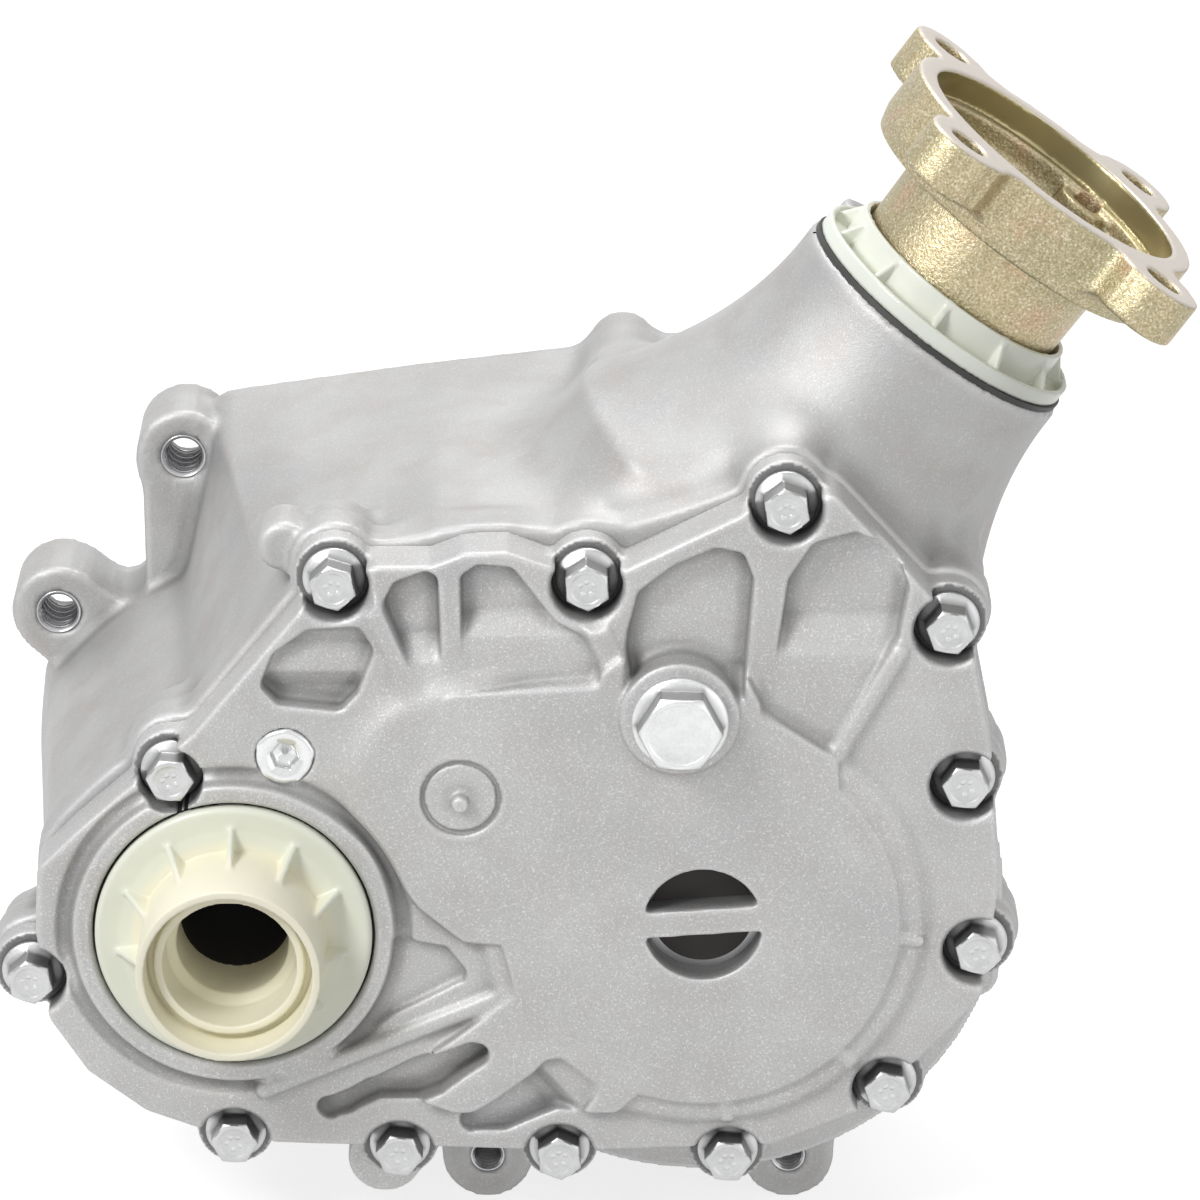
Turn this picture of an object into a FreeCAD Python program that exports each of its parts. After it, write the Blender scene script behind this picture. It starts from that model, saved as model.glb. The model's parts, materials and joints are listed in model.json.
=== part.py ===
import FreeCAD, Part
import math
import os
import re

import Sketcher

# Power transfer unit of an all-wheel-drive car. A hollow input shaft along Y turns, through
# an idler, the shaft of a hypoid ring gear; its pinion leaves up the slanted neck.
# Origin: where the input axis meets the mating face. +Y runs towards the transaxle.

Vector = FreeCAD.Vector
doc = FreeCAD.newDocument("TransferCase")
sheet = doc.addObject("Spreadsheet::Sheet", "Sizes")

SIZES = {
    # levels along Y
    "clearance": 0.3, "mating_face": 0, "joint_face": -140, "bolt_seat": -148, "cover_face": -158, "dome_face": -162,
    "flange_back": -127, "body_back": -10, "wall": 6,
    # shaft centres, and the pinion axis: its level along Y, its slope and its hypoid offset
    "idler_x": 66.68, "idler_z": 44.20, "ring_x": 137, "ring_z": 4,
    "pinion_level": -80, "pinion_slope": 54, "hypoid_offset": 38.1,
    # transfer gears
    "gear_module": 2, "drive_teeth": 42, "idler_teeth": 38, "driven_teeth": 43,
    "gear_front": -136, "gear_width": 20, "pressure_angle": 20, "gear_backlash": 0.12,
    # hypoid set
    "ring_teeth": 31, "pinion_teeth": 11, "mesh_arm": 50.5, "mesh_half_width": 8,
    "ring_addendum": 0.6, "pinion_overhang": 1.5, "ring_room": 3.4,
    "ring_back": -113, "ring_web": -99, "ring_bore": 24, "mesh_clearance": 0.3, "pinion_backlash": 0.35,
    "ring_bolt_count": 8, "ring_bolt_circle": 35.5, "ring_bolt_thread": 4, "ring_flange": 43,
    # input shaft, its bearings and its seals
    "input_seat": 27.5, "gear_seat": 30, "input_bore": 19, "input_nose": -157, "shaft_end": 26,
    "seal_land": 26, "front_bearing": 36, "rear_bearing": 40, "seal_outside": 41, "rear_seal": 38,
    "spigot_bore": 20, "spigot_floor": -143, "plug_mouth": 42, "pilot": 50, "pilot_depth": 8, "spline_outside": 24,
    # idler and ring shaft bearings
    "idler_front_seat": 10, "idler_front_bearing": 23.5, "idler_rear_seat": 8.5,
    "idler_rear_bearing": 20, "ring_front_seat": 15, "ring_front_bearing": 31,
    "ring_rear_seat": 17.5, "ring_rear_bearing": 36, "driven_seat": 19,
    # pinion stations, measured along its axis from the foot of the hypoid offset
    "head_seat": 17.5, "head_bearing": 36, "head_front": 73, "head_back": 91,
    "tail_seat": 15, "tail_bearing": 31, "tail_front": 126, "tail_back": 142,
    "neck_root": 60, "neck_curl": 93, "neck_straight": 165, "neck_spread": 0.0052, "neck_end": 170,
    "neck_radius": 45, "neck_bore": 34, "neck_front": -130, "hub_radius": 22, "spline_radius": 14.5,
    "seal_start": 160, "lip_end": 171.5, "rim_end": 176, "cap_end": 184, "washer_end": 193,
    "nut_collar": 196, "nut_end": 207, "nut_hex": 16, "screw_radius": 11,
    "barrel_radius": 33.6, "barrel_start": 182, "cup_floor": 190, "plate_back": 206,
    "flange_face": 228, "flange_bore": 43, "flange_disc": 49.5, "ear_along": 47, "ear_across": 35,
    "ear_radius": 12.5, "ear_hole": 5.8,
    # cover bolts and the pockets they stand in
    "bolt_thread": 4, "bolt_flange": 9, "bolt_hex": 6.1, "bolt_head": 11, "bolt_washer": 2,
    "bolt_length": 28, "pocket_radius": 10.6, "lug_radius": 11.5,
    "bolt1_x": 30.5, "bolt1_z": 107.6, "bolt2_x": 103.3, "bolt2_z": 107.6,
    "bolt3_x": 160.3, "bolt3_z": 131.0, "bolt4_x": 207.5, "bolt4_z": 94.0,
    "bolt5_x": 213.0, "bolt5_z": 45.8, "bolt6_x": 217.7, "bolt6_z": -6.7,
    "bolt7_x": 191.8, "bolt7_z": -51.5, "bolt8_x": 145.0, "bolt8_z": -74.0,
    "bolt9_x": 95.0, "bolt9_z": -73.2, "bolt10_x": 47.5, "bolt10_z": -72.2,
    "bolt11_x": -1.2, "bolt11_z": -68.0, "bolt12_x": -60.0, "bolt12_z": -16.0,
    "bolt13_x": -17.5, "bolt13_z": 48.0,
    # plugs and the shipping plug
    "fill_x": 130, "fill_z": 69.5, "fill_thread": 9, "fill_flange": 14, "fill_hex": 10.7, "fill_head": 13, "fill_boss": 17,
    "level_x": 15.8, "level_z": 55.6, "level_radius": 8.8, "level_key": 4,
    "plug_disc": 40.4, "plug_tube": 26.6, "plug_step": 21.5, "plug_hole": 16.5, "plug_front": -190,
    "plug_ribs": 12, "cap_ribs": 16, "cap_radius": 43.3, "rib_width": 1.6,
    # mounting ears and the threaded ears below
    "ear1_x": -20.3, "ear1_z": 101, "ear2_x": -60, "ear2_z": 50, "ear3_x": -38, "ear3_z": -76,
    "ear4_x": 78, "ear4_z": -76, "mount_ear": 14.5, "mount_hole": 6.5, "mount_length": 28,
    "foot1_x": 73, "foot2_x": 164, "foot_z": -91, "foot_front": -120, "foot_length": 28,
    "foot_radius": 13.7, "foot_thread": 5, "dowel": 6.2, "dowel_length": 10,
    "bell_front": 56, "bell_back": 67, "boss_x": 114, "boss_z": 130, "boss_radius": 10, "boss_front": -45, "lug_x": 15.5, "lug_z": 112,
    "rear_boss": 4, "cast_lip": 47.6, "lip_face": -160.3, "idler_plug": 10.9, "idler_ring": 13.9,
}
BOLTS = 13


def fill_sheet():
    """Give every driving dimension one cell, with its own name as alias."""
    for row, (name, number) in enumerate(SIZES.items(), start=1):
        sheet.set(f"A{row}", name)
        sheet.set(f"B{row}", str(number))
        sheet.setAlias(f"B{row}", name)
    doc.recompute()


fill_sheet()


def value(expression):
    """Number that an expression on the sheet comes to."""
    return float(sheet.evalExpression(expression))


def size(name):
    """Number in one cell of the sheet."""
    return float(sheet.get(name))


def place_of(axis):
    """Placement of a piece whose own Y axis is the named shaft axis."""
    if axis == "input":
        return FreeCAD.Placement()
    if axis in ("idler", "ring"):
        return FreeCAD.Placement(Vector(size(axis + "_x"), 0, size(axis + "_z")), FreeCAD.Rotation())
    slope = math.radians(size("pinion_slope"))
    foot = Vector(size("ring_x") - size("hypoid_offset") * math.sin(slope), size("pinion_level"),
                  size("ring_z") + size("hypoid_offset") * math.cos(slope))
    lean = FreeCAD.Rotation(Vector(0, 1, 0), -size("pinion_slope"))
    return FreeCAD.Placement(foot, lean * FreeCAD.Rotation(Vector(0, 0, 1), -90))


def turned(label, axis, corners):
    """Body turned about a shaft axis: corners are (radius, station) pairs, each a number or an
    expression in the sheet's names."""
    body = doc.addObject("PartDesign::Body", label)
    body.Label = label
    plane = next(item for item in body.Origin.OriginFeatures if item.Role == "XY_Plane")
    sketch = body.newObject("Sketcher::SketchObject", label + "_profile")
    sketch.AttachmentSupport = (plane, [""])
    sketch.MapMode = "FlatFace"
    texts = [[re.sub(r"[a-z]\w*", r"Sizes.\g<0>", str(part)) for part in corner] for corner in corners]
    points = [Vector(value(radius), value(station), 0) for radius, station in texts]
    count = len(points)
    for i in range(count):
        sketch.addGeometry(Part.LineSegment(points[i], points[(i + 1) % count]), False)
    sketch.addConstraint([Sketcher.Constraint("Coincident", i, 2, (i + 1) % count, 1)
                          for i in range(count)])
    for i, corner in enumerate(texts):
        for kind, text in zip(("DistanceX", "DistanceY"), corner):
            index = sketch.addConstraint(Sketcher.Constraint(kind, -1, 1, i, 1, value(text)))
            sketch.setExpression(f"Constraints[{index}]", text)
    turn = body.newObject("PartDesign::Revolution", label + "_turn")
    turn.Profile = sketch
    turn.ReferenceAxis = (sketch, ["V_Axis"])
    turn.Angle = 360
    body.Placement = place_of(axis)
    return body


def drilled_circle(body, circle, radius, count):
    """Holes through a turned body, parallel to its axis and evenly spaced on a circle."""
    plane = next(item for item in body.Origin.OriginFeatures if item.Role == "XZ_Plane")
    sketch = body.newObject("Sketcher::SketchObject", body.Label + "_hole")
    sketch.AttachmentSupport = (plane, [""])
    sketch.MapMode = "FlatFace"
    sketch.addGeometry(Part.Circle(Vector(size(circle), 0, 0), Vector(0, 0, 1), size(radius)), False)
    sketch.addConstraint(Sketcher.Constraint("PointOnObject", 0, 3, -1))
    for kind, target, name in (("DistanceX", (-1, 1, 0, 3), circle), ("Radius", (0,), radius)):
        index = sketch.addConstraint(Sketcher.Constraint(kind, *target, size(name)))
        sketch.setExpression(f"Constraints[{index}]", f"Sizes.{name}")
    doc.recompute()
    hole = body.newObject("PartDesign::Pocket", body.Label + "_holes")
    hole.Profile = sketch
    hole.Type = "ThroughAll"
    hole.Midplane = True
    pattern = body.newObject("PartDesign::PolarPattern", body.Label + "_circle")
    pattern.Originals = [hole]
    pattern.Axis = (next(item for item in body.Origin.OriginFeatures if item.Role == "Y_Axis"), [""])
    pattern.Angle = 360
    pattern.setExpression("Occurrences", f"Sizes.{count}")
    body.Tip = pattern
    sketch.Visibility = False


def shaped(label, shape, axis=None):
    """Sub-part whose shape comes from the sheet's values, on a shaft axis or in the part's frame."""
    piece = doc.addObject("Part::Feature", label)
    piece.Label = label
    piece.Shape = shape
    if axis:
        piece.Placement = place_of(axis).multiply(shape.Placement)
    return piece


def disc(radius, start, end, x=0, z=0):
    """Cylinder along Y between two stations."""
    return Part.makeCylinder(radius, abs(end - start), Vector(x, min(start, end), z), Vector(0, 1, 0))


def cone(first, last, start, end, x=0, z=0):
    """Cone along Y, its first radius at the start station and its last at the end."""
    return Part.makeCone(first, last, end - start, Vector(x, start, z), Vector(0, 1, 0))


def outline(corners, level):
    """Closed wire through (x, z) corners on one level of Y."""
    points = [Vector(x, level, z) for x, z in corners]
    return Part.makePolygon(points + points[:1])


def rounded(corners, level, radius):
    """Face inside a polygon whose outer corners have a radius."""
    face = Part.Face(outline(corners, level))
    return face.makeOffset2D(-radius, 2).makeOffset2D(radius, 0)


def slab(corners, start, end, radius=0):
    """Prism over a polygon between two levels of Y, its corners rounded where a radius is given."""
    face = rounded(corners, start, radius) if radius else Part.Face(outline(corners, start))
    return face.extrude(Vector(0, end - start, 0))


def hexagon(apothem, start, end, x=0, z=0, turn=0):
    """Hexagonal prism along Y, half as wide across its flats as the given apothem is doubled."""
    reach = apothem / math.cos(math.radians(30))
    angles = [math.radians(60 * i + turn) for i in range(6)]
    return slab([(x + reach * math.cos(a), z + reach * math.sin(a)) for a in angles], start, end)


def joined(shapes):
    """One solid from shapes that overlap."""
    return shapes[0].multiFuse(shapes[1:]).removeSplitter()


def around(shape, count, x=0, z=0):
    """Copies of a shape turned evenly about a line along Y."""
    copies = []
    for i in range(count):
        copy = shape.copy()
        copy.rotate(Vector(x, 0, z), Vector(0, 1, 0), 360 * i / count)
        copies.append(copy)
    return copies


def tooth_half(teeth, module, thinning):
    """Right flank of a gear tooth as (radius, angle) pairs, from root to tip, as an involute."""
    pitch = teeth * module / 2
    base = pitch * math.cos(math.radians(size("pressure_angle")))
    root = pitch - 1.2 * module
    tip = pitch + 0.9 * module

    def opening(radius):
        """Involute function of the pressure angle at a radius."""
        pressure = math.acos(min(1, base / radius))
        return math.tan(pressure) - pressure

    half = math.pi / (2 * teeth) - thinning / (2 * pitch) + opening(pitch)
    flank_start = max(base, root)
    steps = 4
    flank = [flank_start + (tip - flank_start) * i / steps for i in range(steps + 1)]
    pairs = [(radius, half - opening(radius)) for radius in flank]
    if root < flank_start:
        pairs.insert(0, (root, pairs[0][1]))
    return pairs


def gear_solid(teeth, module, start, end, phase, thinning):
    """Spur gear along Y, one tooth centred on the phase angle, in radians from X towards Z."""
    half = tooth_half(teeth, module, thinning)
    corners = []
    for i in range(teeth):
        centre = phase + 2 * math.pi * i / teeth
        for radius, angle in half:
            corners.append((radius, centre - angle))
        for radius, angle in reversed(half):
            corners.append((radius, centre + angle))
    return slab([(r * math.cos(a), r * math.sin(a)) for r, a in corners], start, end)


def bearing(name, axis, bore, outside, start, end, count):
    """Two races and the rollers between them, each its own sub-part."""
    race = 0.27 * (outside - bore)
    roller = (outside - bore - 2 * race) / 2 - 0.03
    track = bore + race + roller
    inset = 0.15 * abs(end - start)
    shaped(name + "_outer_race", disc(outside, start, end).cut(disc(outside - race, start, end)), axis)
    shaped(name + "_inner_race", disc(bore + race, start, end).cut(disc(bore, start, end)), axis)
    one = disc(roller, start + inset, end - inset, track)
    shaped(name + "_rollers", Part.makeCompound(around(one, count)), axis)


def centre_angle(first, second):
    """Direction in radians from one shaft centre to another."""
    run = size(second + "_x") - (size(first + "_x") if first != "input" else 0)
    rise = size(second + "_z") - (size(first + "_z") if first != "input" else 0)
    return math.atan2(rise, run)


def gear_phases():
    """Tooth phases that let the three transfer gears mesh at rest."""
    to_idler = centre_angle("input", "idler")
    to_ring = centre_angle("idler", "ring")
    idler_pitch = 2 * math.pi / size("idler_teeth")
    driven_pitch = 2 * math.pi / size("driven_teeth")
    idler_phase = to_idler + math.pi + idler_pitch / 2
    lead = (to_ring - idler_phase) / idler_pitch % 1
    driven_phase = to_ring + math.pi + (lead + 0.5) * driven_pitch
    return to_idler, idler_phase, driven_phase


def transfer_gear(label, axis, bore, phase, hub):
    """One transfer gear with a lightened web and a hub that reaches the bearing."""
    teeth = int(size(label.replace("_gear", "") + "_teeth"))
    module = size("gear_module")
    start = size("gear_front")
    end = start + size("gear_width")
    blank = gear_solid(teeth, module, start, end, phase, size("gear_backlash"))
    rim = teeth * module / 2 - 3.2 * module
    dish = 5
    for face, floor in ((start, start + dish), (end, end - dish)):
        blank = blank.cut(disc(rim, face, floor).cut(disc(hub, face, floor)))
    return blank, start, end, bore


def make_input():
    """Hollow input shaft, its drive gear and its two bearings."""
    turned("input_shaft", "input", [
        ("spigot_bore", "input_nose"), ("seal_land", "input_nose"), ("seal_land", -147.5),
        ("input_seat", -147.5), ("input_seat", -138), ("gear_seat", -138), ("gear_seat", -116),
        (34, -116), (34, -112), (30, -112), (30, -41), ("input_seat", -41), ("input_seat", -26),
        ("seal_land", -26), ("seal_land", -4), ("spline_outside", -4),
        ("spline_outside", "shaft_end"), ("input_bore", "shaft_end"), ("input_bore", "spigot_floor"),
        ("spigot_bore", "spigot_floor")])
    phase = gear_phases()[0]
    gear, start, end, bore = transfer_gear("drive_gear", "input", size("gear_seat"), phase, 36)
    gear = joined([gear, disc(36, -138, start + 1)]).cut(disc(bore, -138, end))
    shaped("drive_gear", gear)
    bearing("input_front", "input", size("input_seat"), size("front_bearing"), -147, -138, 18)
    bearing("input_rear", "input", size("input_seat"), size("rear_bearing"), -41, -28, 14)
    turned("input_snap_ring", "input", [("input_seat", -28), (30, -28), (30, -26.2), ("input_seat", -26.2)])


def make_idler():
    """Idler gear cut in one with its shaft, and its two bearings."""
    phase = gear_phases()[1]
    gear, start, end, _ = transfer_gear("idler_gear", "idler", 0, phase, 14)
    front = size("idler_front_seat")
    rear = size("idler_rear_seat")
    shaft = joined([gear, disc(front, -152, start), disc(12.5, -138, start), disc(12.5, end, -113),
                    disc(9.2, -113, -84), disc(rear, -84, -71)])
    shaped("idler_gear", shaft, "idler")
    bearing("idler_front", "idler", front, size("idler_front_bearing"), -152, -138, 10)
    bearing("idler_rear", "idler", rear, size("idler_rear_bearing"), -84, -72, 10)


def make_ring_shaft():
    """Ring gear shaft with its flange, the driven gear and the two bearings."""
    shaft = turned("ring_shaft", "ring", [
        (0, -153), ("ring_front_seat", -153), ("ring_front_seat", -138), ("driven_seat", -138),
        ("driven_seat", -116), ("ring_bore", -116), ("ring_bore", "ring_web"),
        ("ring_flange", "ring_web"), ("ring_flange", -93), (26, -93), (22, -89), (22, -54),
        ("ring_rear_seat", -54), ("ring_rear_seat", -37), (0, -37)])
    drilled_circle(shaft, "ring_bolt_circle", "ring_bolt_thread", "ring_bolt_count")
    phase = gear_phases()[2]
    gear, start, end, bore = transfer_gear("driven_gear", "ring", size("driven_seat"), phase, 25)
    gear = joined([gear, disc(22, -138, start + 1)]).cut(disc(bore, -138, end))
    shaped("driven_gear", gear, "ring")
    bearing("ring_front", "ring", size("ring_front_seat"), size("ring_front_bearing"), -152, -138, 10)
    bearing("ring_rear", "ring", size("ring_rear_seat"), size("ring_rear_bearing"), -54, -37, 12)
    circle = size("ring_bolt_circle")
    thread = size("ring_bolt_thread")
    bolt = joined([disc(thread - 0.1, -109, -92.5, circle), hexagon(6.4, -93, -88, circle)])
    shaped("ring_gear_bolts", Part.makeCompound(around(bolt, int(size("ring_bolt_count")))), "ring")


def pinion_radius():
    """Pitch radius of the pinion: the mesh arm divided by the hypoid ratio."""
    return size("mesh_arm") * size("pinion_teeth") / size("ring_teeth")


def pinion_module():
    """Module of the pinion's teeth."""
    return 2 * pinion_radius() / size("pinion_teeth")


def swept_tooth(station):
    """Where the pinion's tooth passes one cut across the ring, as (across, level) pairs.

    The cut is square to the pinion axis at rest. The tooth turns with the pinion while the
    ring turns by the ratio, and both motions are seen from the ring."""
    ratio = size("ring_teeth") / size("pinion_teeth")
    offset = size("hypoid_offset")
    level = size("pinion_level")
    half = tooth_half(int(size("pinion_teeth")), pinion_module(), 0)
    flanks = [(radius, sign * angle) for radius, angle in half for sign in (-1, 1)]
    pairs = []
    for degrees in range(-48, 49):
        turn = math.radians(degrees)
        swing = turn / ratio
        for radius, angle in flanks:
            across = offset - radius * math.sin(angle + turn)
            along = (station + across * math.sin(swing)) / math.cos(swing)
            depth = level - radius * math.cos(angle + turn)
            pairs.append((across * math.cos(swing) + along * math.sin(swing), depth))
    return pairs


def gap_section(station, top, root):
    """Four corners of the gap between two ring teeth on one cut across the ring."""
    clearance = size("mesh_clearance")
    pairs = [(across, depth) for across, depth in swept_tooth(station) if depth < top + 0.2]
    centre = sum(across for across, _ in pairs) / len(pairs)
    sides = []
    for sign in (-1, 1):
        near_top = max(sign * (a - centre) for a, depth in pairs if depth > top - 0.6)
        near_root = max(sign * (a - centre) for a, depth in pairs if depth < root + 1.8)
        lean = (near_top - near_root) / (top - root - 1.2)
        reach = max(sign * (a - centre) - lean * (depth - root) for a, depth in pairs) + clearance
        sides.append((centre + sign * reach, centre + sign * (reach + lean * (top + 1 - root))))
    (low_root, low_top), (high_root, high_top) = sides
    return [(low_root, root), (low_top, top + 1), (high_top, top + 1), (high_root, root)]


def ring_gear_radius():
    """Outer radius of the ring gear, which stops a little short of the pinion's outer end."""
    reach = size("mesh_arm") + size("mesh_half_width") - size("pinion_overhang")
    return math.hypot(reach, size("hypoid_offset"))


def ring_gear_solid():
    """Hypoid ring: a turned blank with one gap per tooth, each swept by the pinion's tooth."""
    module = pinion_module()
    pitch_level = size("pinion_level") - pinion_radius()
    top = pitch_level + size("ring_addendum") * module
    root = pitch_level - 1.25 * module
    arm, half, offset = size("mesh_arm"), size("mesh_half_width"), size("hypoid_offset")
    inside = math.hypot(arm - half, offset)
    outside = ring_gear_radius()
    back = size("ring_back")
    web = size("ring_web")
    blank = joined([disc(outside, back, top).cut(disc(inside, back, top)), disc(inside + 1, back, root - 0.3),
                    disc(size("ring_flange") + 3, back, web)])
    blank = blank.cut(disc(size("ring_bore"), back, top))
    wires = []
    for station in [arm + half * share for share in (-1.25, -0.75, -0.25, 0.25, 0.75, 1.25)]:
        corners = [Vector(station, depth, across) for across, depth in gap_section(station, top, root)]
        wires.append(Part.makePolygon(corners + corners[:1]))
    gap = Part.makeLoft(wires, True, True)
    blank = blank.cut(around(gap, int(size("ring_teeth"))))
    blank.rotate(Vector(0, 0, 0), Vector(0, 1, 0), -size("pinion_slope"))
    holes = around(disc(size("ring_bolt_thread"), back + 3, web, size("ring_bolt_circle")),
                   int(size("ring_bolt_count")))
    return blank.cut(holes)


def make_pinion():
    """Pinion cut in one with its shaft, its bearings, spacer, nut and washer."""
    start = size("mesh_arm") - size("mesh_half_width")
    end = size("mesh_arm") + size("mesh_half_width")
    teeth = int(size("pinion_teeth"))
    head = gear_solid(teeth, pinion_module(), start, end, 0, size("pinion_backlash"))
    shaft = joined([
        head, disc(13.5, end - 1, 70), disc(21, 70, size("head_front")),
        disc(size("head_seat"), size("head_front"), size("head_back")),
        disc(16.5, size("head_back"), size("tail_front")),
        disc(size("tail_seat"), size("tail_front"), size("tail_back")),
        disc(size("spline_radius"), size("tail_back"), size("cup_floor")),
        disc(size("screw_radius"), size("cup_floor"), size("nut_end") + 1)])
    shaped("pinion_shaft", shaft, "pinion")
    bearing("pinion_head", "pinion", size("head_seat"), size("head_bearing"),
            size("head_front"), size("head_back"), 12)
    bearing("pinion_tail", "pinion", size("tail_seat"), size("tail_bearing"),
            size("tail_front"), size("tail_back"), 11)
    turned("pinion_spacer", "pinion", [
        (16.8, "head_back"), (19.5, "head_back"), (19.5, "tail_front"), (16.8, "tail_front")])
    washer_end, nut_end, screw = size("washer_end"), size("nut_end"), size("screw_radius")
    turned("pinion_washer", "pinion", [
        ("screw_radius + clearance", "cup_floor"), ("nut_hex + 3", "cup_floor"),
        ("nut_hex + 3", "washer_end"), ("screw_radius + clearance", "washer_end")])
    nut = hexagon(size("nut_hex"), washer_end, nut_end)
    nut = nut.fuse(disc(size("nut_hex") + 2.4, washer_end, size("nut_collar"))).removeSplitter()
    shaped("pinion_nut", nut.cut(disc(screw, washer_end, nut_end)), "pinion")
    turned("pinion_seal", "pinion", [
        ("hub_radius", "seal_start"), ("neck_bore", "seal_start"), ("neck_bore", "neck_end"),
        ("neck_radius - 0.8", "neck_end"), ("neck_radius - 0.8", "lip_end"), ("neck_bore - 2", "lip_end"),
        ("neck_bore - 2", "seal_start + 3"), ("hub_radius", "seal_start + 3")])


def ear_corners(along, across, radius, reach):
    """Corners of the web that ties a flange ear back to the disc."""
    length = math.hypot(along, across)
    side = (-across / length * radius, along / length * radius)
    return [(along + side[0], across + side[1]), (along - side[0], across - side[1]),
            (along * reach - side[0], across * reach - side[1]),
            (along * reach + side[0], across * reach + side[1])]


def make_companion_flange():
    """Four-eared companion flange on its splined hub, with the cup that hides the nut."""
    back, face = size("plate_back"), size("flange_face")
    barrel, start = size("barrel_radius"), size("barrel_start")
    along, across, ear = size("ear_along"), size("ear_across"), size("ear_radius")
    solids = [disc(size("hub_radius"), size("tail_back"), start), disc(barrel, start, back + 1),
              cone(size("hub_radius"), barrel, start - 4, start), disc(size("flange_disc"), back, face)]
    holes = []
    for x in (-along, along):
        for z in (-across, across):
            solids.append(disc(ear, back + 8, face, x, z))
            solids.append(slab(ear_corners(x, z, ear, 0.5), back + 8, face))
            holes.append(disc(size("ear_hole"), back, face, x, z))
    cuts = [disc(size("flange_bore"), face - 9, face), disc(size("flange_bore") - 2.5, back + 4, face),
            disc(barrel - 5, size("cup_floor"), face), disc(size("spline_radius"), size("tail_back"), face)]
    shaped("companion_flange", joined(solids).cut(Part.makeCompound(holes)).cut(joined(cuts)), "pinion")


def radial_ribs(count, inner, outer, base, inner_top, outer_top, width):
    """Thin radial ribs about Y whose crest slopes from the inner top to the outer top."""
    corners = [(inner, base), (outer, base), (outer, outer_top), (inner, inner_top)]
    points = [Vector(radius, station, -width / 2) for radius, station in corners]
    rib = Part.Face(Part.makePolygon(points + points[:1])).extrude(Vector(0, 0, width))
    return around(rib, count)


def make_shipping_plugs():
    """Moulded plug in the output bore and moulded cap round the flange hub."""
    tube, step, hole = size("plug_tube"), size("plug_step"), size("plug_hole")
    front = size("plug_front")
    back = size("input_nose") - size("clearance")
    spigot = size("spigot_bore") - size("clearance")
    solids = [disc(size("plug_disc"), -160, back), disc(tube, front, back), disc(spigot, -158, -145)]
    solids += radial_ribs(int(size("plug_ribs")), tube - 1, 38, -158, front + 6, -162, size("rib_width"))
    cuts = [disc(tube - 2.5, front, front + 12), disc(step, front, -166), disc(hole, front, -145)]
    shaped("shipping_plug", joined(solids).cut(joined(cuts)))
    cap, barrel, width = size("cap_radius"), size("barrel_radius"), size("rib_width")
    lip, rim, end = size("lip_end"), size("rim_end"), size("cap_end")
    solids = [disc(cap, lip, lip + 2), disc(cap, lip, rim).cut(disc(cap - 2, lip, rim)),
              disc(barrel + 3, lip, end).cut(disc(barrel + 1, lip, end))]
    solids += radial_ribs(int(size("cap_ribs")), barrel + 2, cap - 1, lip + 0.5, end - 2, rim - 1, width)
    shaped("neck_cap", joined(solids).cut(disc(size("hub_radius") + 2, lip, lip + 2)), "pinion")


def bolt_places():
    """Centres of the cover bolts."""
    return [(size(f"bolt{i}_x"), size(f"bolt{i}_z")) for i in range(1, BOLTS + 1)]


def cover_corners():
    """Corners of the cover's raised face, clockwise from its left end."""
    return [(-57, 20), (-11, 62), (22, 102), (42, 114), (58, 114), (72, 119), (91, 115), (114, 114),
            (148, 130), (174, 136), (200, 107), (214, 90), (220, 60), (224, 16), (219, -21),
            (205, -37), (184, -58), (158, -69), (100, -71), (29, -69), (0, -68), (-27, -58),
            (-44, -45), (-55, -28), (-58, 0)]


def pocket_corners():
    """Corners of the cored pockets in the cover's face."""
    return {
        "left": [(10, 78), (20, 92), (36, 93), (44, 80), (34, 70), (14, 70)],
        "narrow": [(44, 102), (48, 110), (60, 112), (61, 80), (53, 78)],
        "middle": [(67, 112), (84, 113), (92, 96), (102, 92), (106, 84), (68, 84)],
        "fill": [(117, 104), (124, 114), (140, 119), (150, 112), (147, 88), (140, 92), (118, 92)],
        "big": [(160, 116), (172, 122), (186, 118), (194, 106), (190, 88), (178, 66), (156, 68)],
        "teardrop": [(22, -58), (32, -60), (60, -51), (75, -40), (74, -34), (66, -33), (26, -53)],
        "lower": [(64, -59), (67, -64), (80, -63), (99, -56), (99, -50), (90, -48)],
    }


def plate_corners():
    """Corners of the plate that joins the domes at the cover's foremost level."""
    return [(37, 24), (35, 70), (46, 79), (104, 80), (114, 88), (146, 88), (155, 70), (176, 56),
            (180, 4), (105, -48), (78, -22), (74, -4), (60, -3), (50, 12)]


def recess_corners():
    """Corners of the shallow recess between the output bore and the ribs below it."""
    return [(45, -2), (62, -5), (68, -13), (66, -19), (48, -26), (30, -36), (16, -47.5), (8, -47)]


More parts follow.
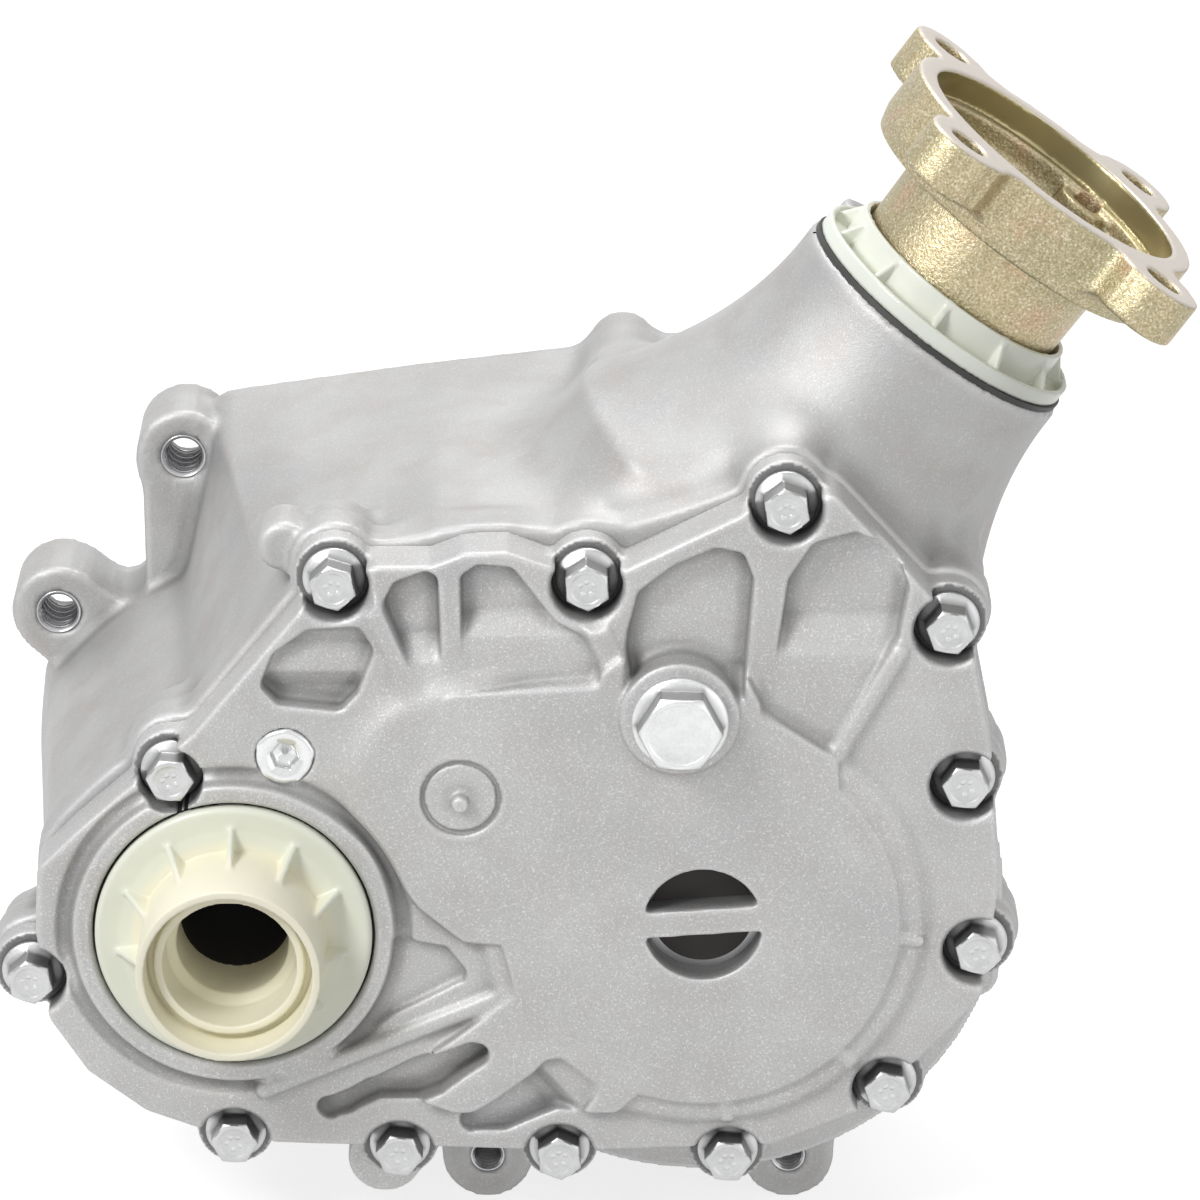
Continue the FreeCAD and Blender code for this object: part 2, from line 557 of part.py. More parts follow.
def make_cover():
    """Front cover: lugs, raised face, domes, cored pockets and the bearing bores inside."""
    joint, seat, face, dome = (size(n) for n in ("joint_face", "bolt_seat", "cover_face", "dome_face"))
    ring = size("ring_x"), size("ring_z")
    idler = size("idler_x"), size("idler_z")
    fill = size("fill_x"), size("fill_z")
    solids = [slab(cover_corners(), joint, face)]
    solids += [disc(size("lug_radius"), seat, joint, *place) for place in bolt_places()]
    solids += [cone(59, 65.5, dome, face, *ring), disc(36, dome, face, *idler),
               slab(plate_corners(), dome, face, 4), disc(size("cast_lip"), size("lip_face"), face),
               disc(size("fill_boss"), dome - 2, face, *fill)]
    cover = joined(solids)
    floors = {"teardrop": seat - 3.5, "lower": seat - 5}
    pockets = [slab(corners, face - 5, floors.get(name, seat - 1), 2)
               for name, corners in pocket_corners().items()]
    pockets.append(slab(recess_corners(), face - 5, face + 3, 2).cut(disc(size("cast_lip"), dome, joint)))
    groove = size("idler_plug")
    pockets.append(disc(groove + 0.6, dome, dome + 1.4, *idler).cut(disc(groove - 0.6, dome, joint, *idler)))
    cuts = [disc(size("pocket_radius"), face - 5, seat, *place) for place in bolt_places()]
    moon = disc(17.2, dome, dome + 7, *ring)
    bar = slab([(ring[0] - 20, ring[1] - 5), (ring[0] + 20, ring[1] - 2.5), (ring[0] + 20, ring[1] + 5),
                (ring[0] - 20, ring[1] + 2.5)], dome, dome + 7)
    cuts += pockets + [moon.cut(bar)]
    hollow = Part.Face(outline(cover_corners(), joint)).makeOffset2D(-16, 2).extrude(Vector(0, -6, 0))
    for x, z, radius in ((0, 0, 47), (*idler, 31), (*ring, 39), (*fill, 16)):
        hollow = hollow.cut(disc(radius, joint - 9, joint, x, z))
    cuts += [hollow, disc(size("front_bearing"), -147, joint), disc(size("seal_outside"), -156, -147),
             disc(size("plug_mouth"), dome, -156), disc(size("idler_front_bearing"), -152.5, joint, *idler),
             disc(size("ring_front_bearing"), -153.5, joint, *ring),
             disc(size("fill_thread"), dome - 2, joint, *fill),
             disc(size("level_radius"), face, face + 7, size("level_x"), size("level_z"))]
    cuts += [disc(size("bolt_thread") + 0.4, seat, joint, *place) for place in bolt_places()]
    cuts += dowel_seats(joint - size("dowel_length") / 2, joint)
    shaped("front_cover", cover.cut(Part.makeCompound(cuts)))


def dowel_seats(start, end):
    """Recesses for the dowel sleeves, round the shanks of two cover bolts."""
    places = [bolt_places()[i] for i in (3, 11)]
    return [disc(size("dowel"), start, end, *place) for place in places]


def dowel_sleeves():
    """Hollow dowels that centre the cover, across the joint face."""
    joint, reach = size("joint_face"), size("dowel_length") / 2
    sleeves = dowel_seats(joint - reach + 0.3, joint + reach - 0.3)
    places = [bolt_places()[i] for i in (3, 11)]
    bores = [disc(size("bolt_thread") + 0.4, joint - reach, joint + reach, *place) for place in places]
    return [sleeve.cut(bore) for sleeve, bore in zip(sleeves, bores)]


def make_fasteners():
    """Flange bolts of the cover, the dowels and the plugs."""
    seat, head = size("bolt_seat"), size("bolt_head")
    bolts = []
    for i, (x, z) in enumerate(bolt_places()):
        body = joined([disc(size("bolt_thread"), seat, seat + size("bolt_length"), x, z),
                       disc(size("bolt_flange"), seat - size("bolt_washer"), seat, x, z),
                       hexagon(size("bolt_hex"), seat - head, seat, x, z, 17 * i)])
        bolts.append(body.cut(disc(4.8, seat - head, seat - head + 0.6, x, z)))
    shaped("cover_bolts", Part.makeCompound(bolts))
    shaped("cover_dowels", Part.makeCompound(dowel_sleeves()))
    x, z = size("fill_x"), size("fill_z")
    face = size("dome_face") - 2
    radius = size("fill_flange")
    shaped("fill_plug_washer", disc(radius, face - 1.5, face, x, z).cut(disc(9, face - 1.5, face, x, z)))
    plug = joined([disc(radius, face - 4, face - 1.5, x, z), disc(9, face - 2, face + 18, x, z),
                   hexagon(size("fill_hex"), face - size("fill_head"), face - 3, x, z, 30)])
    shaped("fill_plug", plug)
    x, z = size("level_x"), size("level_z")
    face = size("cover_face")
    plug = disc(size("level_radius"), face - 0.6, face + 7, x, z)
    shaped("level_plug", plug.cut(hexagon(size("level_key"), face - 0.6, face + 4, x, z)))


def body_ends():
    """Corners of the housing body at the joint face and at its back, in matching order."""
    front = [(-52, 26), (-18, 52), (20, 102), (60, 118), (110, 119), (168, 135), (212, 90),
             (216, 30), (208, -30), (176, -66), (60, -74), (-30, -56), (-54, -20)]
    back = [(-66, 30), (-22, 62), (-14, 117), (50, 126), (100, 132), (150, 139), (200, 100),
            (204, 30), (196, -30), (170, -60), (60, -66), (-36, -62), (-68, -20)]
    return front, back


def inset(corners, distance):
    """Corners moved towards the middle by a distance, each along its own two sides' bisector."""
    moved = []
    count = len(corners)
    for i, (x, z) in enumerate(corners):
        (px, pz), (nx, nz) = corners[i - 1], corners[(i + 1) % count]
        before = math.atan2(z - pz, x - px)
        after = math.atan2(nz - z, nx - x)
        turn = (after - before + math.pi) % (2 * math.pi) - math.pi
        middle = before + turn / 2 - math.pi / 2
        reach = distance / math.cos(turn / 2)
        moved.append((x + reach * math.cos(middle), z + reach * math.sin(middle)))
    return moved


def on_pinion(shape):
    """Shape moved from the pinion's own axis to its place in the part."""
    moved = shape.copy()
    moved.Placement = place_of("pinion")
    return moved


def neck_solid():
    """Trumpet of the neck: its radius grows with the square of the distance from its straight end."""
    curl, straight, radius = size("neck_curl"), size("neck_straight"), size("neck_radius")
    stations = [curl + (straight - curl) * i / 6 for i in range(7)]
    points = [Vector(radius + size("neck_spread") * (straight - s) ** 2, s, 0) for s in stations]
    curve = Part.BSplineCurve()
    curve.interpolate(points)
    root, end = size("neck_root"), size("neck_end")
    corners = [points[-1], Vector(radius, end, 0), Vector(0, end, 0), Vector(0, root, 0),
               Vector(points[0].x, root, 0), points[0]]
    wire = Part.Wire([curve.toShape()] + Part.makePolygon(corners).Edges)
    trumpet = on_pinion(Part.Face(wire).revolve(Vector(0, 0, 0), Vector(0, 1, 0), 360))
    front = size("neck_front")
    return trumpet.common(Part.makeBox(400, size("mating_face") - front, 400, Vector(-100, front, -100)))


def make_housing():
    """Main housing: joint flange, tapered body, input bell, neck, ears and bearing bosses."""
    joint, back, mate = size("joint_face"), size("body_back"), size("mating_face")
    wall = size("wall")
    front_end, back_end = body_ends()
    body = Part.makeLoft([outline(front_end, joint), outline(back_end, back)], True, True)
    ring = size("ring_x"), size("ring_z")
    idler = size("idler_x"), size("idler_z")
    flange_back = size("flange_back")
    room_radius = ring_gear_radius() + size("ring_room")
    solids = [body, slab(cover_corners(), joint, flange_back), disc(room_radius + wall, joint, -88, *ring),
              cone(size("bell_front"), size("bell_back"), joint, mate)]
    solids += [disc(size("lug_radius"), joint, flange_back + 12, *place) for place in bolt_places()]
    solids.append(neck_solid())
    solids.append(disc(size("boss_radius"), size("boss_front"), back + 8, size("boss_x"), size("boss_z")))
    solids.append(disc(7.5, joint + 3, flange_back + 9, size("lug_x"), size("lug_z")))
    solids += [disc(40, back - 1, back + size("rear_boss"), *ring), disc(24, back - 1, back + size("rear_boss"), *idler)]
    ears = [(size(f"ear{i}_x"), size(f"ear{i}_z")) for i in range(1, 5)]
    feet = [(size(f"foot{i}_x"), size("foot_z")) for i in (1, 2)]
    ear_start = mate - size("mount_length")
    for x, z in ears:
        solids.append(disc(size("mount_ear"), ear_start, mate, x, z))
        solids.append(slab(ear_corners(x, z, size("mount_ear"), 0.6), ear_start + 6, mate))
    foot_front, foot_end = size("foot_front"), size("foot_front") + size("foot_length")
    for x, z in feet:
        reach = size("foot_radius")
        solids.append(disc(reach, foot_front, foot_end, x, z))
        solids.append(slab([(x - reach, z), (x + reach, z), (x + reach, -60), (x - reach, -60)],
                           foot_front, foot_end))
    outer = joined(solids)
    room = Part.makeLoft([outline(inset(front_end, wall), joint), outline(inset(back_end, wall), back - 10)],
                         True, True)
    room = joined([room, disc(room_radius, joint, -88, *ring), disc(50, joint, -46)])
    shell = outer.cut(room)
    bosses = [disc(46, -46, mate), disc(26, -86, back - 6, *idler), disc(42, -56, back - 6, *ring)]
    bosses.append(on_pinion(disc(43, 64, 130)).cut(disc(room_radius, joint, -88, *ring)))
    bosses.append(disc(size("pilot"), back, size("pilot_depth")))
    shell = joined([shell] + bosses)
    cuts = [disc(size("rear_bearing"), -46, -28), disc(30.5, -30, -20), disc(size("rear_seal"), -20, 9),
            disc(size("idler_rear_bearing"), -86, -71.5, *idler), disc(10, -74, -60, *idler),
            disc(size("ring_rear_bearing"), -56, -36.5, *ring)]
    cuts += [on_pinion(disc(size(radius) if isinstance(radius, str) else radius, start, end))
             for radius, start, end in (
                 ("head_bearing", 40, 91), (26, 90, 127), ("tail_bearing", 126, 143), ("neck_bore", 142, 171))]
    cuts += [disc(size("mount_hole"), ear_start, mate, x, z) for x, z in ears]
    cuts += [disc(size("foot_thread"), foot_front, foot_end, x, z) for x, z in feet]
    cuts += [disc(size("bolt_thread"), joint, flange_back + 9, *place) for place in bolt_places()]
    cuts += dowel_seats(joint, joint + size("dowel_length") / 2)
    groove = disc(size("pilot"), 3, 6).cut(disc(size("pilot") - 2, 3, 6))
    shell = shell.cut(Part.makeCompound(cuts)).cut(groove)
    shaped("main_housing", shell)
    turned("pilot_o_ring", "input", [(48, 3.2), (50.6, 3.2), (50.6, 5.8), (48, 5.8)])


def make_seals():
    """Shaft seals of the cover and of the housing."""
    turned("output_seal", "input", [
        ("seal_land", -155.5), ("seal_outside", -155.5), ("seal_outside", -147.5), (38, -147.5),
        (38, -152), ("seal_land", -152)])
    turned("input_seal", "input", [
        ("seal_land", -10), ("rear_seal", -10), ("rear_seal", -19.5), (35, -19.5), (35, -13.5),
        ("seal_land", -13.5)])


make_input()
make_idler()
make_ring_shaft()
shaped("ring_gear", ring_gear_solid(), "ring")
make_pinion()
make_companion_flange()
make_shipping_plugs()
make_seals()
make_fasteners()
make_cover()
make_housing()
doc.recompute()

pieces = [item for item in doc.Objects if item.TypeId in ("PartDesign::Body", "Part::Feature")]
for item in doc.Objects:
    if "Invalid" in item.State or "Error" in item.State:
        raise SystemExit(f"{item.Label} failed: {item.State}")
for piece in pieces:
    if piece.Shape.isNull() or not piece.Shape.isValid():
        raise SystemExit(f"{piece.Label} has no valid shape")

os.makedirs("parts", exist_ok=True)
for piece in pieces:
    piece.Shape.exportStep(f"parts/{piece.Label}.step")
    print(piece.Label, len(piece.Shape.Solids), round(piece.Shape.Volume))
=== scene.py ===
# %% [markdown]
# # A power transfer unit, dressed for its picture
# The CAD frame holds every part of the gearbox. This lesson gives its castings, plugs, bolts
# and flange the fillets, grain and plating of the real thing, and lights them in a plain studio.
# All shapes are worked out with numpy in millimetres and become meshes in metres.

# %% The frame
import json
import math

import bpy
import numpy as np
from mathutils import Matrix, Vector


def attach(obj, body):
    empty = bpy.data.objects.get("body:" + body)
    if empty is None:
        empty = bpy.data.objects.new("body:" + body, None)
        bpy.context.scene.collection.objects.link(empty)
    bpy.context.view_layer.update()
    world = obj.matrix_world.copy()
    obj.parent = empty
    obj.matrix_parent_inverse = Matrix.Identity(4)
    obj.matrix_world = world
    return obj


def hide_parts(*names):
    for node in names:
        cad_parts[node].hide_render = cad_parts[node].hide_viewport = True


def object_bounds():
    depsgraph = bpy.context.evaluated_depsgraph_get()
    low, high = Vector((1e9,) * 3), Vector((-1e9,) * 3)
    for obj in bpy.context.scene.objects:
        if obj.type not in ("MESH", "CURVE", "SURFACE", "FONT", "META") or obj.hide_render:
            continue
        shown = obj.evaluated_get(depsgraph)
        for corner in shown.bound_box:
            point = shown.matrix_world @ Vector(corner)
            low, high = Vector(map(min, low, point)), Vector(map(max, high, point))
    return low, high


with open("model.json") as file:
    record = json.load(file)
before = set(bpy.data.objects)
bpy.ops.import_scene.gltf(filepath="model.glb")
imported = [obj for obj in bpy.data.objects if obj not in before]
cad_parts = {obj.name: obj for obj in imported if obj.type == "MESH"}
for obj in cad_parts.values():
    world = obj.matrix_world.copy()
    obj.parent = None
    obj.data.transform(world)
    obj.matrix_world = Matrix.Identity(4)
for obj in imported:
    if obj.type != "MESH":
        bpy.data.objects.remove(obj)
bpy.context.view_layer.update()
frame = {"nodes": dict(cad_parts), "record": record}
MM = 0.001

# %% [markdown]
# ## Sizes that every step shares
# The input shaft runs along Y through the origin. The idler and the ring gear have parallel
# shafts, and the pinion leaves upwards at a slope. The levels are stations along Y: the cover's
# face is at the front, the mating face at the back is zero.

# %% Levels, shafts and bolts
JOINT, SEAT, FACE, DOME = -140.0, -148.0, -158.0, -162.0
FLANGE_BACK, BODY_BACK = -127.0, -10.0
INPUT = (0.0, 0.0)
IDLER = (66.68, 44.20)
RING = (137.0, 4.0)
FILL = (130.0, 69.5)
LEVEL = (15.8, 55.6)
BOLTS = [(30.5, 107.6), (103.3, 107.6), (160.3, 131.0), (207.5, 94.0), (213.0, 45.8),
         (217.7, -6.7), (191.8, -51.5), (145.0, -74.0), (95.0, -73.2), (47.5, -72.2),
         (-1.2, -68.0), (-60.0, -16.0), (-17.5, 48.0)]
SLOPE = math.radians(54.0)
HYPOID_OFFSET = 38.1
NECK_AXIS = np.array([math.cos(SLOPE), 0.0, math.sin(SLOPE)])
NECK_SIDE = np.array([-math.sin(SLOPE), 0.0, math.cos(SLOPE)])
NECK_FOOT = np.array([RING[0] - HYPOID_OFFSET * math.sin(SLOPE), -80.0,
                      RING[1] + HYPOID_OFFSET * math.cos(SLOPE)])
print("pinion foot:", NECK_FOOT.round(2))

# %% [markdown]
# ## Distances
# A casting is all fillets: its pattern was carved, sanded and drawn out of sand or a die.
# Meshes that meet at hard edges would have to be bevelled by hand, so the castings are described
# as distances instead. Each shape is an array that is negative inside, and a rounded union or
# difference of two arrays leaves a fillet where they meet.

# %% Flat outlines
def inset(corners, distance):
    """Corners moved inwards: each moves along the sum of its two sides' inward normals, divided
    by one plus their dot product, times the distance."""
    points = np.array(corners, float)
    after = np.roll(points, -1, axis=0) - points
    area = np.sum(points[:, 0] * np.roll(points[:, 1], -1) - points[:, 1] * np.roll(points[:, 0], -1))
    normal = np.stack([-after[:, 1], after[:, 0]], axis=1) * np.sign(area)
    normal /= np.linalg.norm(normal, axis=1, keepdims=True)
    before = np.roll(normal, 1, axis=0)
    bend = 1 + np.sum(normal * before, axis=1, keepdims=True)
    return points + distance * (normal + before) / np.maximum(bend, 0.3)


def to_line(u, v, start, end):
    """Distance to a line: the share along it of the nearest point is clipped to its two ends."""
    run, rise = end[0] - start[0], end[1] - start[1]
    share = np.clip(((u - start[0]) * run + (v - start[1]) * rise) / (run * run + rise * rise), 0, 1)
    return np.hypot(u - start[0] - share * run, v - start[1] - share * rise)


def polygon(u, v, corners, radius=0.0):
    """Distance to a closed outline with rounded corners: the least distance to the sides of the
    inset outline, negative where a line to the left crosses an odd number of them, less the radius."""
    points = inset(corners, radius) if radius else np.array(corners, float)
    nearest = np.full(np.broadcast(u, v).shape, 1e9, np.float32)
    inside = np.zeros(nearest.shape, bool)
    for start, end in zip(points, np.roll(points, -1, axis=0)):
        run, rise = end - start
        nearest = np.minimum(nearest, to_line(u, v, start, end))
        if abs(rise) > 1e-9:
            crosses = (start[1] > v) != (end[1] > v)
            inside ^= crosses & (u < start[0] + (v - start[1]) * run / rise)
    return np.where(inside, -nearest, nearest) - radius


def circle(u, v, centre, radius):
    """Distance to a circle: the distance to its centre, less the radius."""
    return np.hypot(u - centre[0], v - centre[1]) - radius


def circles(u, v, centres, radius):
    """Distance to the nearest of several equal circles."""
    return np.minimum.reduce([circle(u, v, centre, radius) for centre in centres])


def stroke(u, v, start, end, width):
    """Distance to a rounded bar: the distance to a line, less half the width."""
    return to_line(u, v, start, end) - width / 2


SQUARE = [(-10, -10), (10, -10), (10, 10), (-10, 10)]
print("from the middle of a 20 mm square to its sides:", float(polygon(0.0, 0.0, SQUARE)), "mm")


# %% Rounded unions and cuts
def either(a, b, fillet=0.01):
    """Union: the smaller distance, less a quarter of the fillet times the square of how nearly
    the two are equal."""
    near = np.maximum(fillet - np.abs(a - b), 0) / fillet
    return np.minimum(a, b) - near * near * fillet / 4


def both(a, b, edge=0.01):
    """Overlap: the union's mirror image, so its outer edge is rounded."""
    return -either(-a, -b, edge)


def less(a, b, edge=0.01):
    """The first shape with the second cut away."""
    return both(a, -b, edge)


def kept(shape, station, low, high, edge=0.01):
    """The shape between two stations, both ends rounded alike."""
    return both(shape, np.maximum(low - station, station - high), edge)


def slab(flat, y, front, back, edge=0.01):
    """A flat outline between two stations along Y, its front edge rounded."""
    return both(both(flat, front - y, edge), y - back)


def ear_web(u, v, place, near, far, share, radius=0.0):
    """Distance to the plate behind an ear: two corners lie a near half width off the ear's centre,
    and two a far half width off the point at that share of the way out from the axis."""
    tip = np.array(place, float)
    root = share * tip
    across = np.array([-place[1], place[0]]) / math.hypot(*place)
    corners = [tip + near * across, tip - near * across, root - far * across, root + far * across]
    return polygon(u, v, corners, radius)


print("a fillet of 4 mm fills", -float(either(np.float32(0), np.float32(0), 4.0)), "mm in the corner")

# %% [markdown]
# ## From distance to mesh
# Surface nets turn a distance array into faces. Every grid cell that the surface passes through
# gets one vertex, at the mean of the points where its edges cross zero, and every grid edge that
# crosses gets one face from the four cells round it. It is plain array work, the corners come out
# slightly rounded as on sand castings, and the mesh is closed. The two big castings are thinned
# afterwards, because their flat stretches need far fewer faces than their fillets.

# %% Surface nets
def grid(low, high, step):
    """Three open coordinate arrays that cover a box."""
    axes = [np.arange(a, b + step, step, dtype=np.float32) for a, b in zip(low, high)]
    return np.ix_(*axes)


def on_grid(cell, cells):
    """True where a cell's three numbers lie on the grid."""
    return np.logical_and.reduce([(place >= 0) & (place < end) for place, end in zip(cell, cells)])


def moved_back(cell, moves):
    """Copies of a cell's numbers, each less its move."""
    return [place - move for place, move in zip(cell, moves)]


def surface_nets(field, axes):
    """Vertices and quads of the zero surface, wound so that they face the positive side."""
    cells = tuple(np.array(field.shape) - 1)
    total = np.zeros((3,) + cells, np.float32)
    count = np.zeros(cells, np.float32)
    crossings = []
    for axis in range(3):
        low, high = [slice(None)] * 3, [slice(None)] * 3
        low[axis], high[axis] = slice(0, -1), slice(1, None)
        first, last = field[tuple(low)], field[tuple(high)]
        where = np.nonzero((first < 0) != (last < 0))
        place = [numbers.astype(np.float32) for numbers in where]
        place[axis] = place[axis] + first[where] / (first[where] - last[where])
        crossings.append((axis, where, first[where] < 0))
        for a, b in np.ndindex(2, 2):
            cell = moved_back(where, [(0, a, b), (a, 0, b), (a, b, 0)][axis])
            keep = on_grid(cell, cells)
            index = tuple(numbers[keep] for numbers in cell)
            np.add.at(count, index, 1)
            for i in range(3):
                np.add.at(total[i], index, place[i][keep])
    used = count > 0
    number = np.full(cells, -1, np.int64)
    number[used] = np.arange(used.sum())
    vertices = []
    for i in range(3):
        start, following = axes[i].ravel()[:2]
        vertices.append(start + total[i][used] / count[used] * (following - start))
    quads = []
    for axis, where, leaves in crossings:
        ring = []
        for a, b in ((1, 1), (0, 1), (0, 0), (1, 0)):
            ring.append(moved_back(where, [(0, a, b), (b, 0, a), (a, b, 0)][axis]))
        keep = np.logical_and.reduce([on_grid(cell, cells) for cell in ring])
        faces = np.stack([number[tuple(numbers[keep] for numbers in cell)] for cell in ring], axis=1)
        faces[~leaves[keep]] = faces[~leaves[keep]][:, ::-1]
        quads.append(faces)
    return np.stack(vertices, axis=1), np.concatenate(quads)


ball_axes = grid((-5, -5, -5), (5, 5, 5), 1.0)
ball = np.sqrt(sum(axis * axis for axis in ball_axes)) - 4
print("a ball of 4 mm on a 1 mm grid:", len(surface_nets(ball, ball_axes)[1]), "faces")


# %% Objects from arrays
def make_object(name, vertices, faces, masks=None):
    """A mesh object from vertices in millimetres and quads, with named masks for its material."""
    mesh = bpy.data.meshes.new(name)
    faces = np.asarray(faces)
    width = faces.shape[1]
    mesh.vertices.add(len(vertices))
    mesh.vertices.foreach_set("co", (np.asarray(vertices, np.float32) * MM).ravel())
    mesh.loops.add(faces.size)
    mesh.loops.foreach_set("vertex_index", faces.ravel().astype(np.int32))
    mesh.polygons.add(len(faces))
    mesh.polygons.foreach_set("loop_start", np.arange(0, faces.size, width, dtype=np.int32))
    mesh.polygons.foreach_set("use_smooth", np.ones(len(faces), bool))
    mesh.update(calc_edges=True)
    mesh.validate()
    for label, values in (masks or {}).items():
        layer = mesh.attributes.new(label, "FLOAT", "POINT")
        layer.data.foreach_set("value", np.asarray(values, np.float32))
    piece = bpy.data.objects.new(name, mesh)
    bpy.context.scene.collection.objects.link(piece)
    print(f"{name}: {len(vertices)} vertices, {len(faces) * (width - 2)} triangles")
    return piece


def thinned(piece, ratio):
    """The piece with that share of its triangles, fewest where it is flat."""
    modifier = piece.modifiers.new("thin", "DECIMATE")
    modifier.ratio = ratio
    result = piece.evaluated_get(bpy.context.evaluated_depsgraph_get())
    mesh = bpy.data.meshes.new_from_object(result)
    piece.modifiers.clear()
    piece.data = mesh
    mesh.calc_loop_triangles()
    print(f"{piece.name} thinned to {len(mesh.loop_triangles)} triangles")
    return piece


def on_neck(vertices):
    """Places given as (across, station, up) about the pinion axis, moved into the frame: across
    runs along minus Y, up runs along the neck's upper side."""
    vertices = np.asarray(vertices)
    return (NECK_FOOT + vertices[:, :1] * np.array([0.0, -1.0, 0.0])
            + vertices[:, 1:2] * NECK_AXIS + vertices[:, 2:3] * NECK_SIDE)


# %% [markdown]
# ## Where shade and wear are painted
# A blasted casting is painted darker in its corners, as painted shade, and brighter on its edges.
# Both come from one number: how much metal there is round a point. The distances give it at
# once, as the share of solid cells in a small box, so each vertex keeps that share.

# %% Share of metal round each vertex
def box_mean(values, reach):
    """Mean over a box: the difference of running sums, one axis at a time, edges repeated."""
    for axis in range(3):
        pad = [(0, 0)] * 3
        pad[axis] = (reach + 1, reach)
        run = np.cumsum(np.pad(values, pad, mode="edge"), axis=axis, dtype=np.float32)
        count = values.shape[axis]
        width = 2 * reach + 1
        high = np.take(run, range(width, width + count), axis=axis)
        values = (high - np.take(run, range(count), axis=axis)) / width
    return values


def metal_share(field, axes, vertices, reach_mm):
    """Share of solid in a box about each vertex, read between the eight nearest grid points: a half
    on flats, more in corners, less on edges."""
    steps = [float(axis.ravel()[1] - axis.ravel()[0]) for axis in axes]
    share = box_mean(np.clip(0.5 - field / steps[0], 0, 1), max(int(reach_mm / steps[0]), 1))
    places = [np.clip((vertices[:, i] - float(axes[i].ravel()[0])) / steps[i], 0, field.shape[i] - 1.001)
              for i in range(3)]
    cells = [place.astype(int) for place in places]
    parts = [place - cell for place, cell in zip(places, cells)]
    total = np.zeros(len(vertices), np.float32)
    for corner in np.ndindex(2, 2, 2):
        weight = np.ones(len(vertices))
        for part, end in zip(parts, corner):
            weight = weight * (part if end else 1 - part)
        total += weight * share[tuple(cell + end for cell, end in zip(cells, corner))]
    return total


def netted(field, axes, **reaches):
    """Vertices, quads and masks of a field: one mask of metal share for each named reach."""
    vertices, quads = surface_nets(field, axes)
    masks = {label: metal_share(field, axes, vertices, reach) for label, reach in reaches.items()}
    return vertices, quads, masks


# %% [markdown]
# ## The front cover
# The cover is a die casting: a flat rim with thirteen counterbored bolt holes, a broad dome over
# the ring gear, cored pockets between ribs at the top, two more at the bottom, and a round boss
# for the filler. Its outlines are measured on the cover's face.

# %% Outlines of the cover
COVER = [(-57, 20), (-46, 31), (-11, 62), (22, 102), (42, 114), (58, 114), (68, 118), (80, 118.5),
         (95, 113), (114, 113), (148, 130), (174, 136), (200, 107), (214, 90), (220, 60), (223.5, 16),
         (219, -21), (205, -37), (184, -58), (158, -69), (100, -71), (29, -69), (0, -68), (-27, -58),
         (-44, -45), (-55, -28), (-58, 0)]
DOME_PLATE = [(43, 24), (50, 50), (62, 76), (104, 80), (114, 88), (146, 88), (155, 70), (176, 56),
              (180, 4), (112, -57), (64, -57), (42, -49), (60, -36), (82, -19), (78, -3), (67, -2),
              (54, 9)]
POCKETS = {
    "left": [(9, 77), (13, 87), (23, 94.5), (38, 95.5), (42, 88), (37, 75), (32, 69.5), (14, 71.5)],
    "narrow": [(44, 101), (48, 109), (57, 112.5), (60.5, 111), (61.5, 76), (53, 74)],
    "middle": [(67, 111), (72, 114.5), (82, 113.5), (89, 104), (94, 97), (103, 92), (108, 78),
               (67.5, 75)],
    "fill": [(113, 72), (115, 94), (118, 106), (128, 114), (140, 119.5), (148, 118), (151, 110),
             (148, 72)],
    "big": [(153, 68), (158, 88), (161, 110), (168, 121), (180, 124.5), (191, 119), (195.5, 108),
            (192, 88), (178, 66), (174, 64)],
    "teardrop": [(22, -57), (26, -60), (33, -58.5), (41, -53.5), (53, -53.5), (60, -50.5), (67, -45),
                 (74, -40), (74.5, -35), (69, -34), (52, -41), (37, -49), (26, -54)],
    "lower": [(65, -60), (67, -64), (79, -64), (86.5, -60.5), (94.5, -57), (101, -57.5),
              (107.5, -48.5), (95.5, -39), (91, -40), (87.5, -44), (76, -53)],
}
INPUT_RECESS = [(45, -2), (62, -5), (68, -13), (66, -19), (48, -26), (30, -36), (16, -47.5), (8, -47)]
print("pockets:", ", ".join(POCKETS))

# %% Sizes of the cover
LUG_RADIUS, COUNTERBORE, NARROW_COUNTERBORE, COUNTERBORE_MOUTH = 11.5, 10.4, 9.5, 11.7
RIM_ROUNDING, POCKET_ROUNDING = 6, 3.2
DOME_RADIUS, BAND_RADIUS, BAND_DROP, IDLER_DOME = 57.8, 63.0, 1.7, 30.5
PIP_ANGLES, PIP_REACH, PIP_WIDTH, PIP_DROP = (-0.09, -0.8, -1.45, -2.1), (56, 63.5), 3.2, 0.5
LIP_RADIUS, LIP_HALF, LIP_TOP = 44.6, 3.0, -160.3
GROOVE_RADIUS, GROOVE_HALF, GROOVE_FLOOR = 49.8, 1.6, -155.8
RECESS_FLOOR, RECESS_EDGE = -155.0, 47.0
FILL_BOSS, FILL_BOSS_TOP = 17.0, -164.0
PLUG_BORE, PLUG_FLOOR = 41.0, -155.5
SEAL_BORE, SEAL_FLOOR = 41.2, -147.3
SHAFT_ROOM = 36.3
SLOT_RADIUS, BAR_HALF, SLOT_FLOOR = 17.3, 4.1, -149.0
IDLER_RING, IDLER_GROOVE, IDLER_PIN = 12.8, 11.0, (66.6, 43.4)
RIBS = {"lower": ((8, -50.5), (80, -19.5), 5.0, -160.6), "right": ((193, 88), (176, 57), 5.2, -160.2),
        "left": ((41, 103), (54, 73), 5.5, -159.6), "filler": ((106, 96), (112, 82), 7.0, -160.0)}
print("ribs as start, end, width and crest:", RIBS)


